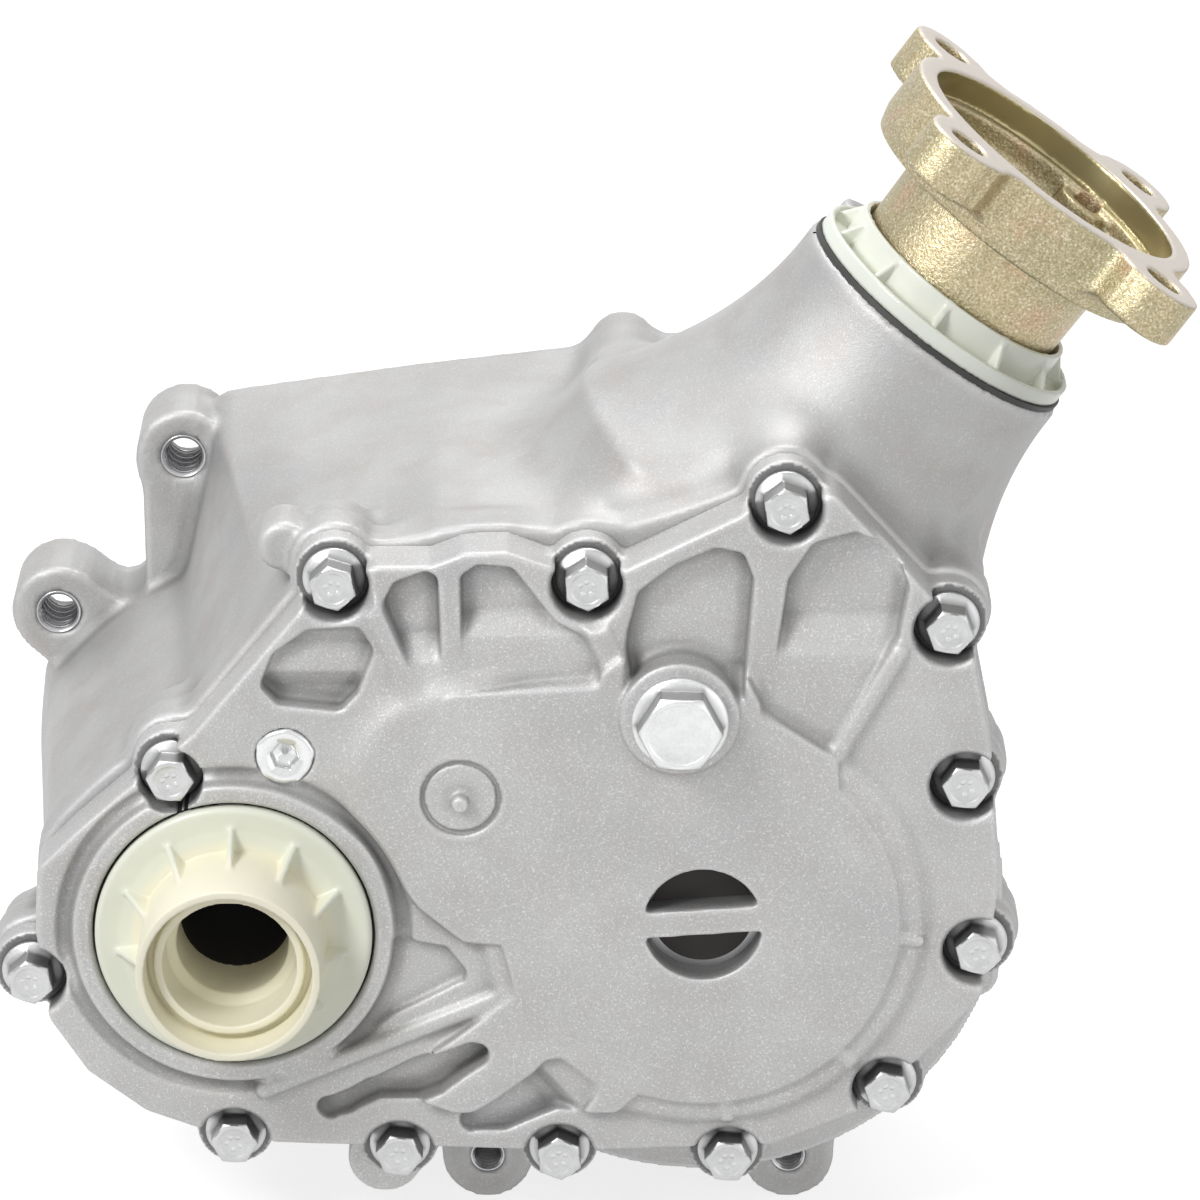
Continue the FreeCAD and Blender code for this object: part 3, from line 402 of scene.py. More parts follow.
# %% How deep each pocket is
def ramp(value, stops):
    """Height that follows straight runs between (place, height) stops."""
    places, heights = zip(*stops)
    return np.float32(np.interp(value, places, heights))


def pocket_floors(x, z):
    """Stations of the pocket floors, each a ramp along the way its core was drawn."""
    slanted = 0.75 * x + 0.66 * z
    return {
        "left": ramp(z, [(70, -150.5), (75, -151), (81, -154), (89, -153), (97, -156.5)]),
        "narrow": ramp(z, [(73, -164), (84, -158), (92, -152), (112, -150)]),
        "middle": ramp(z, [(74, -164), (83, -158), (92, -156), (99, -151), (114, -149.5)]),
        "fill": ramp(z, [(70, -164), (82, -153), (104, -151), (119, -150)]),
        "big": ramp(z, [(63, -163), (76, -158.5), (86, -157), (98, -151), (124, -150)]),
        "teardrop": ramp(x, [(22, -154), (40, -151.5), (74, -151)]),
        "lower": ramp(slanted, [(8, -154.5), (30, -152), (35, -154), (39, -158), (49, -161)]),
    }


middle_floor = float(pocket_floors(80.0, 100.0)["middle"])
print("depth of the middle pocket at height 100:", round(middle_floor - FACE, 1), "mm")


# %% The cast form of the cover
def dome_field(x, y, z):
    """Domes over the idler and the ring gear, joined by a plate, and the stepped band with its pips
    round the ring gear's. A dome is a cone cut flat: its radius grows with the depth."""
    plate = polygon(x, z, DOME_PLATE, 5)
    idler_dome = (circle(x, z, IDLER, IDLER_DOME) - (y - DOME) * 1.7) * 0.5
    ring_dome = (circle(x, z, RING, DOME_RADIUS) - (y - DOME) * 0.4) * 0.93
    domes = both(np.minimum(np.minimum(plate, idler_dome), ring_dome), DOME - y, 1.6)
    band = (circle(x, z, RING, BAND_RADIUS) - (y - DOME - BAND_DROP) * 1.3) * 0.6
    band = both(band, DOME + BAND_DROP - y, 0.8)
    for angle in PIP_ANGLES:
        way = (math.cos(angle), math.sin(angle))
        ends = [(RING[0] + reach * way[0], RING[1] + reach * way[1]) for reach in PIP_REACH]
        band = either(band, both(stroke(x, z, *ends, PIP_WIDTH), DOME + PIP_DROP - y, 1.0), 1.2)
    return domes, band


def cover_field(x, y, z):
    """Union of the rim, lugs, domes, lip, ribs and filler boss, less the groove, the pockets and the
    recess beside the output bore."""
    solid = slab(polygon(x, z, COVER, RIM_ROUNDING), y, FACE, JOINT, 1.6)
    lugs = np.minimum(circles(x, z, BOLTS, LUG_RADIUS), stroke(x, z, BOLTS[5], (217, -18), 15))
    lugs = np.minimum(lugs, stroke(x, z, (47.5, -72), (43, -78), 22))
    solid = either(solid, slab(lugs, y, SEAT, JOINT, 1.2), 2.5)
    domes, band = dome_field(x, y, z)
    solid = either(solid, both(domes, y - JOINT), 2.6)
    solid = either(solid, both(band, y - JOINT), 0.8)
    from_input = np.hypot(x, z)
    lip = np.abs(from_input - LIP_RADIUS) - LIP_HALF
    solid = either(solid, slab(lip, y, LIP_TOP, JOINT, 1.6), 2.0)
    groove = np.abs(from_input - GROOVE_RADIUS) - GROOVE_HALF
    solid = less(solid, both(groove, y - GROOVE_FLOOR, 2.0), 2.6)
    floors = pocket_floors(x, z)
    for name, corners in POCKETS.items():
        opening = polygon(x, z, corners, POCKET_ROUNDING)
        solid = less(solid, both(opening, y - floors[name], 2.4), 1.6)
    recess = polygon(x, z, INPUT_RECESS, 2.5)
    recess = less(recess, stroke(x, z, (16, -44.5), (66, -17.5), 2.6), 1.5)
    recess = less(recess, circle(x, z, INPUT, RECESS_EDGE))
    solid = less(solid, both(recess, y - RECESS_FLOOR, 2.0), 1.8)
    for start, end, width, crest in RIBS.values():
        solid = either(solid, slab(stroke(x, z, start, end, width), y, crest, JOINT, 2.4), 2.2)
    return either(solid, slab(circle(x, z, FILL, FILL_BOSS), y, FILL_BOSS_TOP, JOINT, 1.3), 3.0)


# %% The cover after machining
def cover_cuts(solid, x, y, z):
    """The machined places: counterbores, bores, the two slots in the dome, the idler's plug and the
    level plug's seat. The last bolt lies close to the output bore, so its counterbore is narrower."""
    heads = circles(x, z, BOLTS[:-1], COUNTERBORE)
    solid = less(solid, both(heads, y - SEAT), 0.9)
    solid = less(solid, both(circle(x, z, BOLTS[-1], NARROW_COUNTERBORE), y - SEAT), 0.3)
    solid = less(solid, (circles(x, z, BOLTS[:-1], COUNTERBORE_MOUTH) + (y - FACE)) * 0.7)
    from_bar = (z - RING[1]) - 0.07 * (x - RING[0]) - 0.8
    slots = both(circle(x, z, RING, SLOT_RADIUS), BAR_HALF - np.abs(from_bar), 1.5)
    solid = less(solid, both(slots, y - SLOT_FLOOR, 1.0), 0.8)
    from_input = np.hypot(x, z)
    solid = less(solid, both(from_input - PLUG_BORE, y - PLUG_FLOOR))
    solid = less(solid, both(from_input - SEAL_BORE, y - SEAL_FLOOR))
    solid = less(solid, from_input - SHAFT_ROOM)
    from_idler = circle(x, z, IDLER, 0.0)
    solid = either(solid, slab(np.abs(from_idler - IDLER_RING) - 1.5, y, DOME - 0.5, JOINT, 0.9), 0.6)
    solid = less(solid, both(np.abs(from_idler - IDLER_GROOVE) - 0.6, y - DOME - 1.4), 0.5)
    pin = both(circle(x, z, IDLER_PIN, 2.6), DOME - 4.2 - y, 1.0)
    solid = either(solid, both(pin, y - JOINT), 1.2)
    solid = less(solid, both(circle(x, z, LEVEL, 8.5), y - FACE - 4.0), 0.6)
    return both(solid, y - JOINT)


# %% The cover's mesh
COVER_STEP, COVER_SHARE = 0.86, 0.53
axes = grid((-75, -167, -90), (232, -138, 146), COVER_STEP)
field = cover_cuts(cover_field(*axes), *axes)
print("cover grid:", field.shape)
vertices, quads, masks = netted(field, axes, share=4.5, edge=1.8)
x, y, z = vertices.T
in_counterbore = circles(x, z, BOLTS, COUNTERBORE + 0.5) < 0
in_slot = circle(x, z, RING, SLOT_RADIUS + 0.5) < 0
# Painted shade: near black on the deep walls of the counterbores and of the two slots in the dome.
recess_shade = np.where(in_counterbore, np.clip((y - FACE - 2.5) / 5, 0, 1), 0)
masks["recess_shade"] = np.where(in_slot, np.clip((y - DOME - 1.2) / 3, 0, 1) * 0.75, recess_shade)
front_cover = thinned(make_object("cover_casting", vertices, quads, masks=masks), COVER_SHARE)
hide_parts("front_cover")
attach(front_cover, "housing")

# %% [markdown]
# ## The main housing
# Behind the joint the housing carries on as one casting: a flange with bolt lugs, a tapering
# body, a bell round the input shaft, four ears for the transaxle, two threaded feet and the
# slanted neck for the pinion. It is the same kind of distance array, on a coarser grid.

# %% Outlines of the housing
BODY_FRONT = [(-52, 26), (-18, 52), (20, 102), (60, 118), (110, 119), (168, 135), (212, 90), (216, 30),
              (208, -30), (176, -66), (60, -74), (-30, -56), (-54, -20)]
BODY_REAR = [(-66, 30), (-22, 62), (-14, 117), (50, 126), (100, 132), (150, 139), (200, 100), (204, 30),
             (196, -30), (170, -60), (60, -66), (-36, -62), (-68, -20)]
EARS = [(-20.3, 101), (-60, 50), (-38, -76), (78, -76)]
FEET = [(73, -91), (164, -91)]
print("ears:", len(EARS), "feet:", len(FEET))

# %% Sizes of the housing
BODY_ROUNDING = 12
DRUM_RADIUS, DRUM_BACK = 77.7, -88.0
BELL_FRONT, BELL_GROWTH = 56, 11
TOP_BOSS, TOP_BOSS_RADIUS = (114, 130), 10
ARCH, ARCH_RADIUS = (15.5, 112), 7.5
NECK_RADIUS, NECK_SPREAD, NECK_STRAIGHT, NECK_CURL = 45, 0.0052, 165, 72
NECK_ROOT, NECK_END, NECK_FRONT = 60, 170, -130
EAR_RADIUS, EAR_HOLE, EAR_FRONT = 14.5, 6.6, -28
FOOT_RADIUS, FOOT_HOLE, FOOT_FRONT, FOOT_BACK = 13.7, 5.0, -120.0, -92.0
PILOT_RADIUS, PILOT_BACK = 50, 8
RING_BOSS, IDLER_BOSS = 40, 24
PINION_BORE, INPUT_BORE, INPUT_SEAL_BORE = 34.2, 38.2, 40.2
print("neck radius where its curl starts:", NECK_RADIUS + NECK_SPREAD * NECK_CURL ** 2)


# %% The housing as one distance
def neck_coordinates(x, y, z):
    """Station along the pinion axis, height above it and distance from it."""
    along = (x - NECK_FOOT[0]) * NECK_AXIS[0] + (z - NECK_FOOT[2]) * NECK_AXIS[2]
    up = (x - NECK_FOOT[0]) * NECK_SIDE[0] + (z - NECK_FOOT[2]) * NECK_SIDE[2]
    return along + 0 * y, up, np.hypot(up, y - NECK_FOOT[1])


def body_field(x, y, z):
    """The body, which changes from its front outline to its rear one in proportion to the station,
    with the drum round the ring gear, a boss on top, the bell, the rim, the bolt lugs and an arch."""
    share = np.clip((y - JOINT) / (BODY_BACK - JOINT), 0, 1)
    front = polygon(x, z, BODY_FRONT, BODY_ROUNDING)
    rear = polygon(x, z, BODY_REAR, BODY_ROUNDING)
    solid = kept(front * (1 - share) + rear * share, y, JOINT, BODY_BACK, 4)
    bell_radius = BELL_FRONT + BELL_GROWTH * np.clip((y - JOINT) / -JOINT, 0, 1)
    rim = np.minimum(polygon(x, z, COVER, RIM_ROUNDING) - 0.8, circles(x, z, BOLTS, LUG_RADIUS + 0.5))
    # Each row is a shape, its two stations, the rounding of its edges and the fillet round it.
    additions = [(circle(x, z, RING, DRUM_RADIUS), JOINT, DRUM_BACK, 3, 9),
                 (circle(x, z, TOP_BOSS, TOP_BOSS_RADIUS), -45, -2, 3, 7),
                 (np.hypot(x, z) - bell_radius, JOINT, 0, 1.5, 7),
                 (rim, JOINT, FLANGE_BACK, 1.5, 5),
                 (circles(x, z, BOLTS, LUG_RADIUS), JOINT, FLANGE_BACK + 14, 2, 5),
                 (circle(x, z, ARCH, ARCH_RADIUS), JOINT + 3, FLANGE_BACK + 9, 1.5, 3)]
    for shape, low, high, edge, fillet in additions:
        solid = either(solid, kept(shape, y, low, high, edge), fillet)
    return solid


def neck_field(y, along, up, away):
    """The neck, whose radius grows with the square of the distance from its straight end, and the
    two lugs on it."""
    flare = np.clip(NECK_STRAIGHT - along, 0, NECK_CURL)
    neck = (away - NECK_RADIUS - NECK_SPREAD * flare * flare) * 0.9
    neck = kept(both(neck, NECK_FRONT - y, 5), along, NECK_ROOT, NECK_END, 1.0)
    behind = y - NECK_FOOT[1]
    back_lug = kept(np.hypot(behind - 46, up - 24) - 9, along, 140, 172.5, 1)
    right_lug = kept(np.hypot(behind - 22, up + 44) - 8, along, 146, 164, 1)
    return neck, np.minimum(back_lug, right_lug)


def housing_field(x, y, z):
    """Union of the body, neck, ears, feet, pilot and rear bosses, less the machined bores."""
    along, up, away = neck_coordinates(x, y, z)
    neck, neck_lugs = neck_field(y, along, up, away)
    solid = either(either(body_field(x, y, z), neck, 12), neck_lugs, 3)
    for place in EARS:
        ear = either(circle(x, z, place, EAR_RADIUS), ear_web(x, z, place, 13, 22, 0.55), 4)
        solid = either(solid, kept(ear, y, EAR_FRONT, 0, 0.7), 3)
    for place in FEET:
        web = polygon(x, z, [(place[0] - FOOT_RADIUS, place[1]), (place[0] + FOOT_RADIUS, place[1]),
                             (place[0] + 16, -58), (place[0] - 16, -58)])
        foot = np.minimum(circle(x, z, place, FOOT_RADIUS), web)
        solid = either(solid, kept(foot, y, FOOT_FRONT, FOOT_BACK, 1.2), 5)
    pilot = both(np.hypot(x, z) - PILOT_RADIUS, y - PILOT_BACK, 1.2)
    solid = either(solid, both(pilot, -12 - y), 1.0)
    bosses = np.minimum(circle(x, z, RING, RING_BOSS), circle(x, z, IDLER, IDLER_BOSS))
    solid = either(solid, kept(bosses, y, -60, -6, 2), 5)
    return housing_cuts(solid, x, y, z, along, away)


def housing_cuts(solid, x, y, z, along, away):
    """The machined bores, the holes of ears and feet, the O-ring's groove and the joint face."""
    solid = less(solid, both(away - PINION_BORE, 140 - along), 0.8)
    for place in EARS:
        solid = less(solid, circle(x, z, place, EAR_HOLE) - np.minimum(y + 30, 0) * 3, 0.6)
    for place in FEET:
        solid = less(solid, both(circle(x, z, place, FOOT_HOLE), y + 86), 0.6)
    from_input = np.hypot(x, z)
    solid = less(solid, from_input - INPUT_BORE, 0.8)
    solid = less(solid, kept(from_input - INPUT_SEAL_BORE, y, -50, -26))
    groove = both(np.abs(from_input - PILOT_RADIUS) - 2.0, np.abs(y - 4.5) - 1.5)
    return both(less(solid, groove), JOINT - y)


# %% The housing's mesh
HOUSING_STEP, HOUSING_SHARE = 1.5, 0.6
axes = grid((-82, -142, -110), (240, 12, 190), HOUSING_STEP)
field = housing_field(*axes)
print("housing grid:", field.shape)
vertices, quads, masks = netted(field, axes, share=7.0, edge=3.5)
x, y, z = vertices.T
past_rim = np.minimum(circles(x, z, EARS, EAR_HOLE), circles(x, z, FEET, FOOT_HOLE))
# Painted shade: darkens the ear and foot holes past their rims.
masks["recess_shade"] = 0.8 * np.clip(0.7 - past_rim / 1.5, 0, 1)
housing = thinned(make_object("housing_casting", vertices, quads, masks=masks), HOUSING_SHARE)
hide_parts("main_housing")
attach(housing, "housing")

# %% [markdown]
# ## The companion flange
# The flange is an iron casting, yellow passivated all over and then faced and bored on a lathe.
# Its raw sides are rough and its face is smooth, so the mesh carries a mask of where the tool
# went. It is worked out about its own axis: across, along and up from the pinion's centre line.

# %% Sizes of the flange
EARS_ALONG, EARS_ACROSS, FLANGE_EAR, FLANGE_HOLE = 47.0, 35.0, 12.4, 5.8
FLANGE_EARS = [(i * EARS_ALONG, j * EARS_ACROSS) for i in (-1, 1) for j in (-1, 1)]
BARREL_RADIUS, BARREL_START, BARREL_END = 33.2, 182, 209
HUB_RADIUS, HUB_START, SPLINE_BORE = 22, 142, 14.6
PLATE_RADIUS, PLATE_BACK, FACE_END = 49.5, 206.0, 228.0
PILOT_BORE, PILOT_FLOOR, CUP_RADIUS, CUP_FLOOR = 43, 219, 40.2, 210
NUT_ROOM, NUT_FLOOR = 28.6, 190
print("bolt circle of the flange:", round(2 * math.hypot(EARS_ALONG, EARS_ACROSS), 1), "mm")


# %% The flange
def flange_field(across, station, up):
    """Union of the barrel, hub, plate and ears, less the pilot bore, the cup with its cast pad and
    rib, the room for the nut, the spline bore and the bolt holes."""
    radius = np.hypot(across, up)
    barrel = kept(radius - BARREL_RADIUS - (station - BARREL_START) * 0.02, station,
                  BARREL_START, BARREL_END, 0.8)
    hub = kept(radius - HUB_RADIUS, station, HUB_START, BARREL_START + 2)
    plate = radius - PLATE_RADIUS + np.maximum(212 - station, 0) * 0.25
    plate = kept(plate, station, PLATE_BACK, FACE_END, 1.2)
    solid = either(np.minimum(barrel, hub), plate, 3.5)
    for place in FLANGE_EARS:
        ear = circle(across, up, place, FLANGE_EAR)
        ear = either(ear, ear_web(across, up, place, 13, 13, 0.5, 1), 3)
        solid = either(solid, kept(ear, station, 213, FACE_END, 1.4), 5)
    solid = np.minimum(solid, kept(radius - PLATE_RADIUS + 0.5, station, 222, FACE_END))
    solid = both(solid, station - FACE_END, 0.5)
    solid = less(solid, both(radius - PILOT_BORE, PILOT_FLOOR - station), 0.5)
    cup = both(radius - CUP_RADIUS, CUP_FLOOR - station, 4)
    pad = both(circle(across, up, (-32, -23), 9), station - 216.5, 0.8)
    rib = both(stroke(across, up, (-26, -33), (-20, -25), 3.0), station - 214, 0.8)
    solid = less(solid, less(less(cup, pad, 2), rib, 1), 1.0)
    solid = less(solid, circle(across, up, (-31.5, -22.5), 4.2), 0.5)
    solid = less(solid, both(radius - NUT_ROOM, NUT_FLOOR - station, 2), 1.0)
    solid = less(solid, circles(across, up, FLANGE_EARS, FLANGE_HOLE), 0.7)
    return less(solid, radius - SPLINE_BORE)


# %% The flange's mesh
axes = grid((-63, 141, -52), (63, 231, 52), 0.8)
vertices, quads, masks = netted(flange_field(*axes), axes, share=3.0)
station, from_axis = vertices[:, 1], np.hypot(vertices[:, 0], vertices[:, 2])
masks["faced"] = np.clip((station - FACE_END + 0.9) / 0.5, 0, 1)
masks["bored"] = (np.abs(from_axis - PILOT_BORE) < 0.6) & (station > PILOT_FLOOR + 0.2)
flange = make_object("flange_casting", on_neck(vertices), quads, masks=masks)
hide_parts("companion_flange")
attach(flange, "pinion")

# %% [markdown]
# ## The shipping plug and the neck's cap
# Both are moulded nylon, thin walled with ribs, there to keep dirt out until the unit is fitted.
# Their ribs are as thin as the walls, which is why they need the finest grid of all.

# %% Ribs about an axis
def fins(a, b, count, thickness, turn=0.0):
    """Distance to thin plates through an axis: the angle is folded into one share of the circle."""
    pitch = 2 * math.pi / count
    angle = (np.arctan2(b, a) - turn + pitch / 2) % pitch - pitch / 2
    return np.abs(np.hypot(a, b) * np.sin(angle)) - thickness / 2


half_gap = float(fins(30.0, 0.0, 11, 1.8, math.pi / 11))
print("half the gap between eleven fins 1.8 mm thick, 30 mm out:", round(half_gap, 1), "mm")


# %% Shipping plug
PLUG_PROFILE = [(16.4, -145), (19.7, -145), (19.7, -157.3), (40.4, -157.3), (40.4, -160.0),
                (39.4, -161.0), (33.5, -160.6), (26.9, -161.2), (26.6, -189.85), (24.4, -189.85),
                (24.1, -178), (22.0, -177.6), (21.7, -181.5), (19.6, -181.5), (19.2, -168), (16.4, -165)]
FIN_COUNT, TUBE_RADIUS, FIN_REACH, FIN_TOP = 11, 26.6, 35, -175


def plug_field(x, y, z):
    """A turned profile with eleven fins whose crests run down from the tube to the disc."""
    radius = np.hypot(x, z)
    solid = polygon(radius + 0 * y, y + 0 * radius, PLUG_PROFILE) - 0.1
    crest = (y - FIN_TOP - (radius - TUBE_RADIUS) * 1.75) * 0.5
    limits = np.maximum(-crest, np.maximum(radius - FIN_REACH, TUBE_RADIUS - 1.1 - radius))
    ribs = both(fins(x, z, FIN_COUNT, 1.8, math.pi / 2) + 0 * y, limits, 0.4)
    return either(solid, both(ribs, y + 160), 1.0)


axes = grid((-42, -191.5, -42), (42, -143.5, 42), 0.56)
vertices, quads, masks = netted(plug_field(*axes), axes, share=2.2)
masks["radius"] = np.hypot(vertices[:, 0], vertices[:, 2])
plug = make_object("shipping_plug_moulding", vertices, quads, masks=masks)
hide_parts("shipping_plug")
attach(plug, "housing")

# %% Neck cap
CAP_PROFILE = [(24.2, 171.6), (43.3, 171.6), (43.3, 176.4), (41.9, 176.4), (41.7, 173.2), (36.4, 173.2),
               (36.0, 184.0), (34.7, 184.0), (34.7, 173.4), (24.2, 173.4)]
CAP_FIN_TOP, CAP_WALL = 183.0, 36.0


def cap_field(across, station, up):
    """A turned trough with eleven fins across it, open at the barrel."""
    radius = np.hypot(across, up)
    solid = polygon(radius + 0 * station, station + 0 * radius, CAP_PROFILE) - 0.1
    crest = (station - CAP_FIN_TOP + (radius - CAP_WALL) * 1.35) * 0.6
    limits = np.maximum(crest, np.maximum(radius - 42, 35 - radius))
    ribs = both(fins(across, up, FIN_COUNT, 1.7, 0.2) + 0 * station, limits, 0.3)
    return either(solid, both(ribs, 172 - station), 0.8)


axes = grid((-45, 170.5, -45), (45, 185.5, 45), 0.5)
vertices, quads, masks = netted(cap_field(*axes), axes, share=2.0)
masks["radius"] = np.hypot(vertices[:, 0], vertices[:, 2])
cap = make_object("neck_cap_moulding", on_neck(vertices), quads, masks=masks)
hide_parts("neck_cap")
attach(cap, "housing")

# %% [markdown]
# ## Bolt heads
# A flange bolt is cold headed: a round flange with a sloping top, a hexagon whose corners are
# turned off, and a shallow dish that carries small marks. Rings of points do this with few
# faces, because each ring is a circle, a hexagon or something between the two.

# %% Heads from rings
def hexagon_radius(angle, apothem):
    """Radius of a hexagon at an angle: the apothem over the cosine of the angle to a flat."""
    folded = (angle + math.pi / 6) % (math.pi / 3) - math.pi / 6
    return apothem / np.cos(folded)


def head_rings(apothem, top, flange, thickness, dish, angles):
    """Rings of a flanged hexagon head as (radii, heights) pairs, from the middle of its top to
    the flange's underside. Corners above a circle a little inside the flats slope at 30 degrees."""
    corner = hexagon_radius(angles, apothem)
    crown = apothem * 0.955
    drop = (corner - crown) * math.tan(math.radians(30))
    foot = thickness + 1.3
    top_rings = [(0, top - 0.45), (dish - 0.5, top - 0.45), (dish - 0.1, top - 0.3),
                 (dish + 0.25, top - 0.02), (dish + 0.5, top), (crown - 0.12, top),
                 (crown + 0.12, top - 0.07)]
    side_rings = [(corner - 0.3, top - drop + 0.16), (corner - 0.02, top - drop - 0.12),
                  (corner, top - drop - 0.5), (corner, foot + 0.8), (corner + 0.1, foot + 0.15),
                  (corner + 0.6, foot - 0.1)]
    flange_rings = [(flange - 0.7, thickness), (flange - 0.15, thickness - 0.2),
                    (flange, thickness - 0.6), (flange, 0.3), (flange - 0.3, 0), (1.0, 0)]
    return top_rings + side_rings + flange_rings


def head_mesh(rings, angles):
    """Points (across, height, up) and quads of one head, ring by ring, outside faces outwards."""
    radii = np.array([ring[0] + 0 * angles for ring in rings])
    heights = np.array([ring[1] + 0 * angles for ring in rings])
    points = np.stack([radii * np.cos(angles), heights, radii * np.sin(angles)], axis=-1)
    count = len(angles)
    row = np.arange(len(rings) - 1)[:, None] * count
    here, there = np.arange(count)[None, :], (np.arange(count)[None, :] + 1) % count
    quads = np.stack([row + here, row + count + here, row + count + there, row + there], axis=-1)
    return points.reshape(-1, 3), quads.reshape(-1, 4)


def placed_heads(rings, angles, places, turns, seat):
    """Copies of one head, each turned about its own axis and facing the camera from a station, with
    the place on the head that each vertex has."""
    points, quads = head_mesh(rings, angles)
    across, height, up = points.T
    every, faces = [], []
    for i, ((x, z), turn) in enumerate(zip(places, turns)):
        c, s = math.cos(turn), math.sin(turn)
        every.append(np.stack([x + across * c - up * s, seat - height, z + across * s + up * c], axis=1))
        faces.append(quads + i * len(points))
    return np.concatenate(every), np.concatenate(faces), np.tile(points, (len(places), 1))


# %% Cover bolts
ANGLES = np.arange(96) * 2 * math.pi / 96
BOLT_TURNS = [math.radians(turn) for turn in (12, 3, 8, 20, 25, 14, 17, 26, 5, 22, 28, 10, 26)]
rings = head_rings(apothem=6.1, top=11.0, flange=9.0, thickness=2.0, dish=4.6, angles=ANGLES)
vertices, quads, local = placed_heads(rings, ANGLES, BOLTS, BOLT_TURNS, SEAT)
masks = {"mark_u": local[:, 0], "mark_v": local[:, 2], "height": local[:, 1]}
bolts = make_object("bolt_heads", vertices, quads, masks=masks)
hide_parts("cover_bolts")
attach(bolts, "housing")

# %% Filler plug
FILL_SEAT, FILL_TURN = DOME - 3.5, math.radians(28)
rings = head_rings(apothem=10.7, top=11.0, flange=14.0, thickness=2.2, dish=9.2, angles=ANGLES)
vertices, quads, local = placed_heads(rings, ANGLES, [FILL], [FILL_TURN], FILL_SEAT)
fill_plug = make_object("fill_plug_head", vertices, quads, masks={"height": local[:, 1]})
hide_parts("fill_plug")
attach(fill_plug, "housing")

# %% Level plug
def level_rings(angles):
    """Rings of a flush plug with a hexagon socket, its rim staked outwards here and there."""
    socket = hexagon_radius(angles, 3.6)
    stake = 0.5 * np.clip(np.cos(5 * angles + 1.0), 0, 1) ** 2 + 0.25 * np.clip(np.cos(3 * angles), 0, 1)
    return [(0, -4.5), (2.6, -3.2), (socket, -2.9), (socket + 0.02, -0.5), (socket + 0.35, 0.15),
            (6.2, 0.5), (6.9, 0.62), (7.6 + stake, 0.45 + 0.2 * stake), (8.2 + stake, 0.1),
            (8.4, -1.5), (8.0, -6.0), (1.0, -6.5)]


LEVEL_TURN = 0.35
vertices, quads, _ = placed_heads(level_rings(ANGLES), ANGLES, [LEVEL], [LEVEL_TURN], FACE)
level_plug = make_object("level_plug_head", vertices, quads)
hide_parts("level_plug")
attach(level_plug, "housing")

# %% [markdown]
# ## Threaded sleeves
# The ears and the feet hold steel thread sleeves, pressed or cut into the aluminium. Each is a
# tube whose inner wall rises and falls once per pitch, closed round its outer wall.

# %% Sleeves
AROUND, PER_PITCH, PITCH, SLEEVE_WALL = 40, 6, 2.2, 0.9
SLEEVES = [(EARS, -27.6, -6.0, 6.0), (FEET, FOOT_FRONT + 0.4, -93.0, 4.3)]


def sleeve(place, front, back, inner):
    """Points and quads of a threaded tube: the inner radius is a cosine of the station."""
    stations = np.linspace(front, back, int((back - front) / PITCH) * PER_PITCH + 1)
    inside = inner + 0.22 * PITCH * np.cos(2 * math.pi * (stations - front) / PITCH)
    radii = np.concatenate([inside, [inner + SLEEVE_WALL] * 2])
    levels = np.concatenate([stations, [back, front]])
    angles = np.arange(AROUND) * 2 * math.pi / AROUND
    points = np.stack([place[0] + radii[:, None] * np.cos(angles), levels[:, None] + 0 * angles,
                       place[1] + radii[:, None] * np.sin(angles)], axis=-1)
    rows, columns = np.meshgrid(np.arange(len(radii)) * AROUND, np.arange(AROUND), indexing="ij")
    next_row, next_column = np.roll(rows, -1, axis=0), np.roll(columns, -1, axis=1)
    quads = np.stack([rows + columns, rows + next_column, next_row + next_column,
                      next_row + columns], axis=-1)
    return points.reshape(-1, 3), quads.reshape(-1, 4)


every, faces, count = [], [], 0
for holes, front, back, inner in SLEEVES:
    for place in holes:
        points, quads = sleeve(place, front, back, inner)
        every.append(points)
        faces.append(quads + count)
        count += len(points)
sleeves = make_object("thread_sleeves", np.concatenate(every), np.concatenate(faces))
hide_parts("main_housing")
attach(sleeves, "housing")

# %% [markdown]
# ## Paint made of expressions
# A material is a small graph. Writing it node by node hides the idea, so one class wraps an
# output socket and lets Python's operators add the Math nodes.

# %% Wires
class Wire:
    """An output socket that answers to + - and * with Math nodes."""

    def __init__(self, graph, socket):
        self.graph = graph
        self.socket = socket

    def math(self, operation, *others):
        return self.graph.node("ShaderNodeMath", {"operation": operation}, [self, *others])

    def __add__(self, other):
        return self.math("ADD", other)

    def __sub__(self, other):
        return self.math("SUBTRACT", other)

    def __rsub__(self, other):
        return self.graph.node("ShaderNodeMath", {"operation": "SUBTRACT"}, [other, self])

    def __mul__(self, other):
        return self.math("MULTIPLY", other)

    __radd__, __rmul__ = __add__, __mul__

    def between(self, low, high):
        """0 below low, 1 above high, and a straight run between them."""
        return self.graph.node("ShaderNodeMapRange", {"clamp": True}, [self, low, high, 0.0, 1.0])


class Graph:
    """A node tree under construction."""

    def __init__(self, tree):
        self.tree = tree

    def put(self, socket, value):
        """A wire is linked, and anything else is the socket's own value."""
        if isinstance(value, Wire):
            self.tree.links.new(value.socket, socket)
        else:
            socket.default_value = value

    def node(self, kind, settings, inputs, output=0):
        """A node with its settings made first, then its inputs by number or by name."""
        node = self.tree.nodes.new(kind)
        for key, value in settings.items():
            setattr(node, key, value)
        for key, value in inputs.items() if isinstance(inputs, dict) else enumerate(inputs):
            self.put(node.inputs[key], value)
        return Wire(self, node.outputs[output])


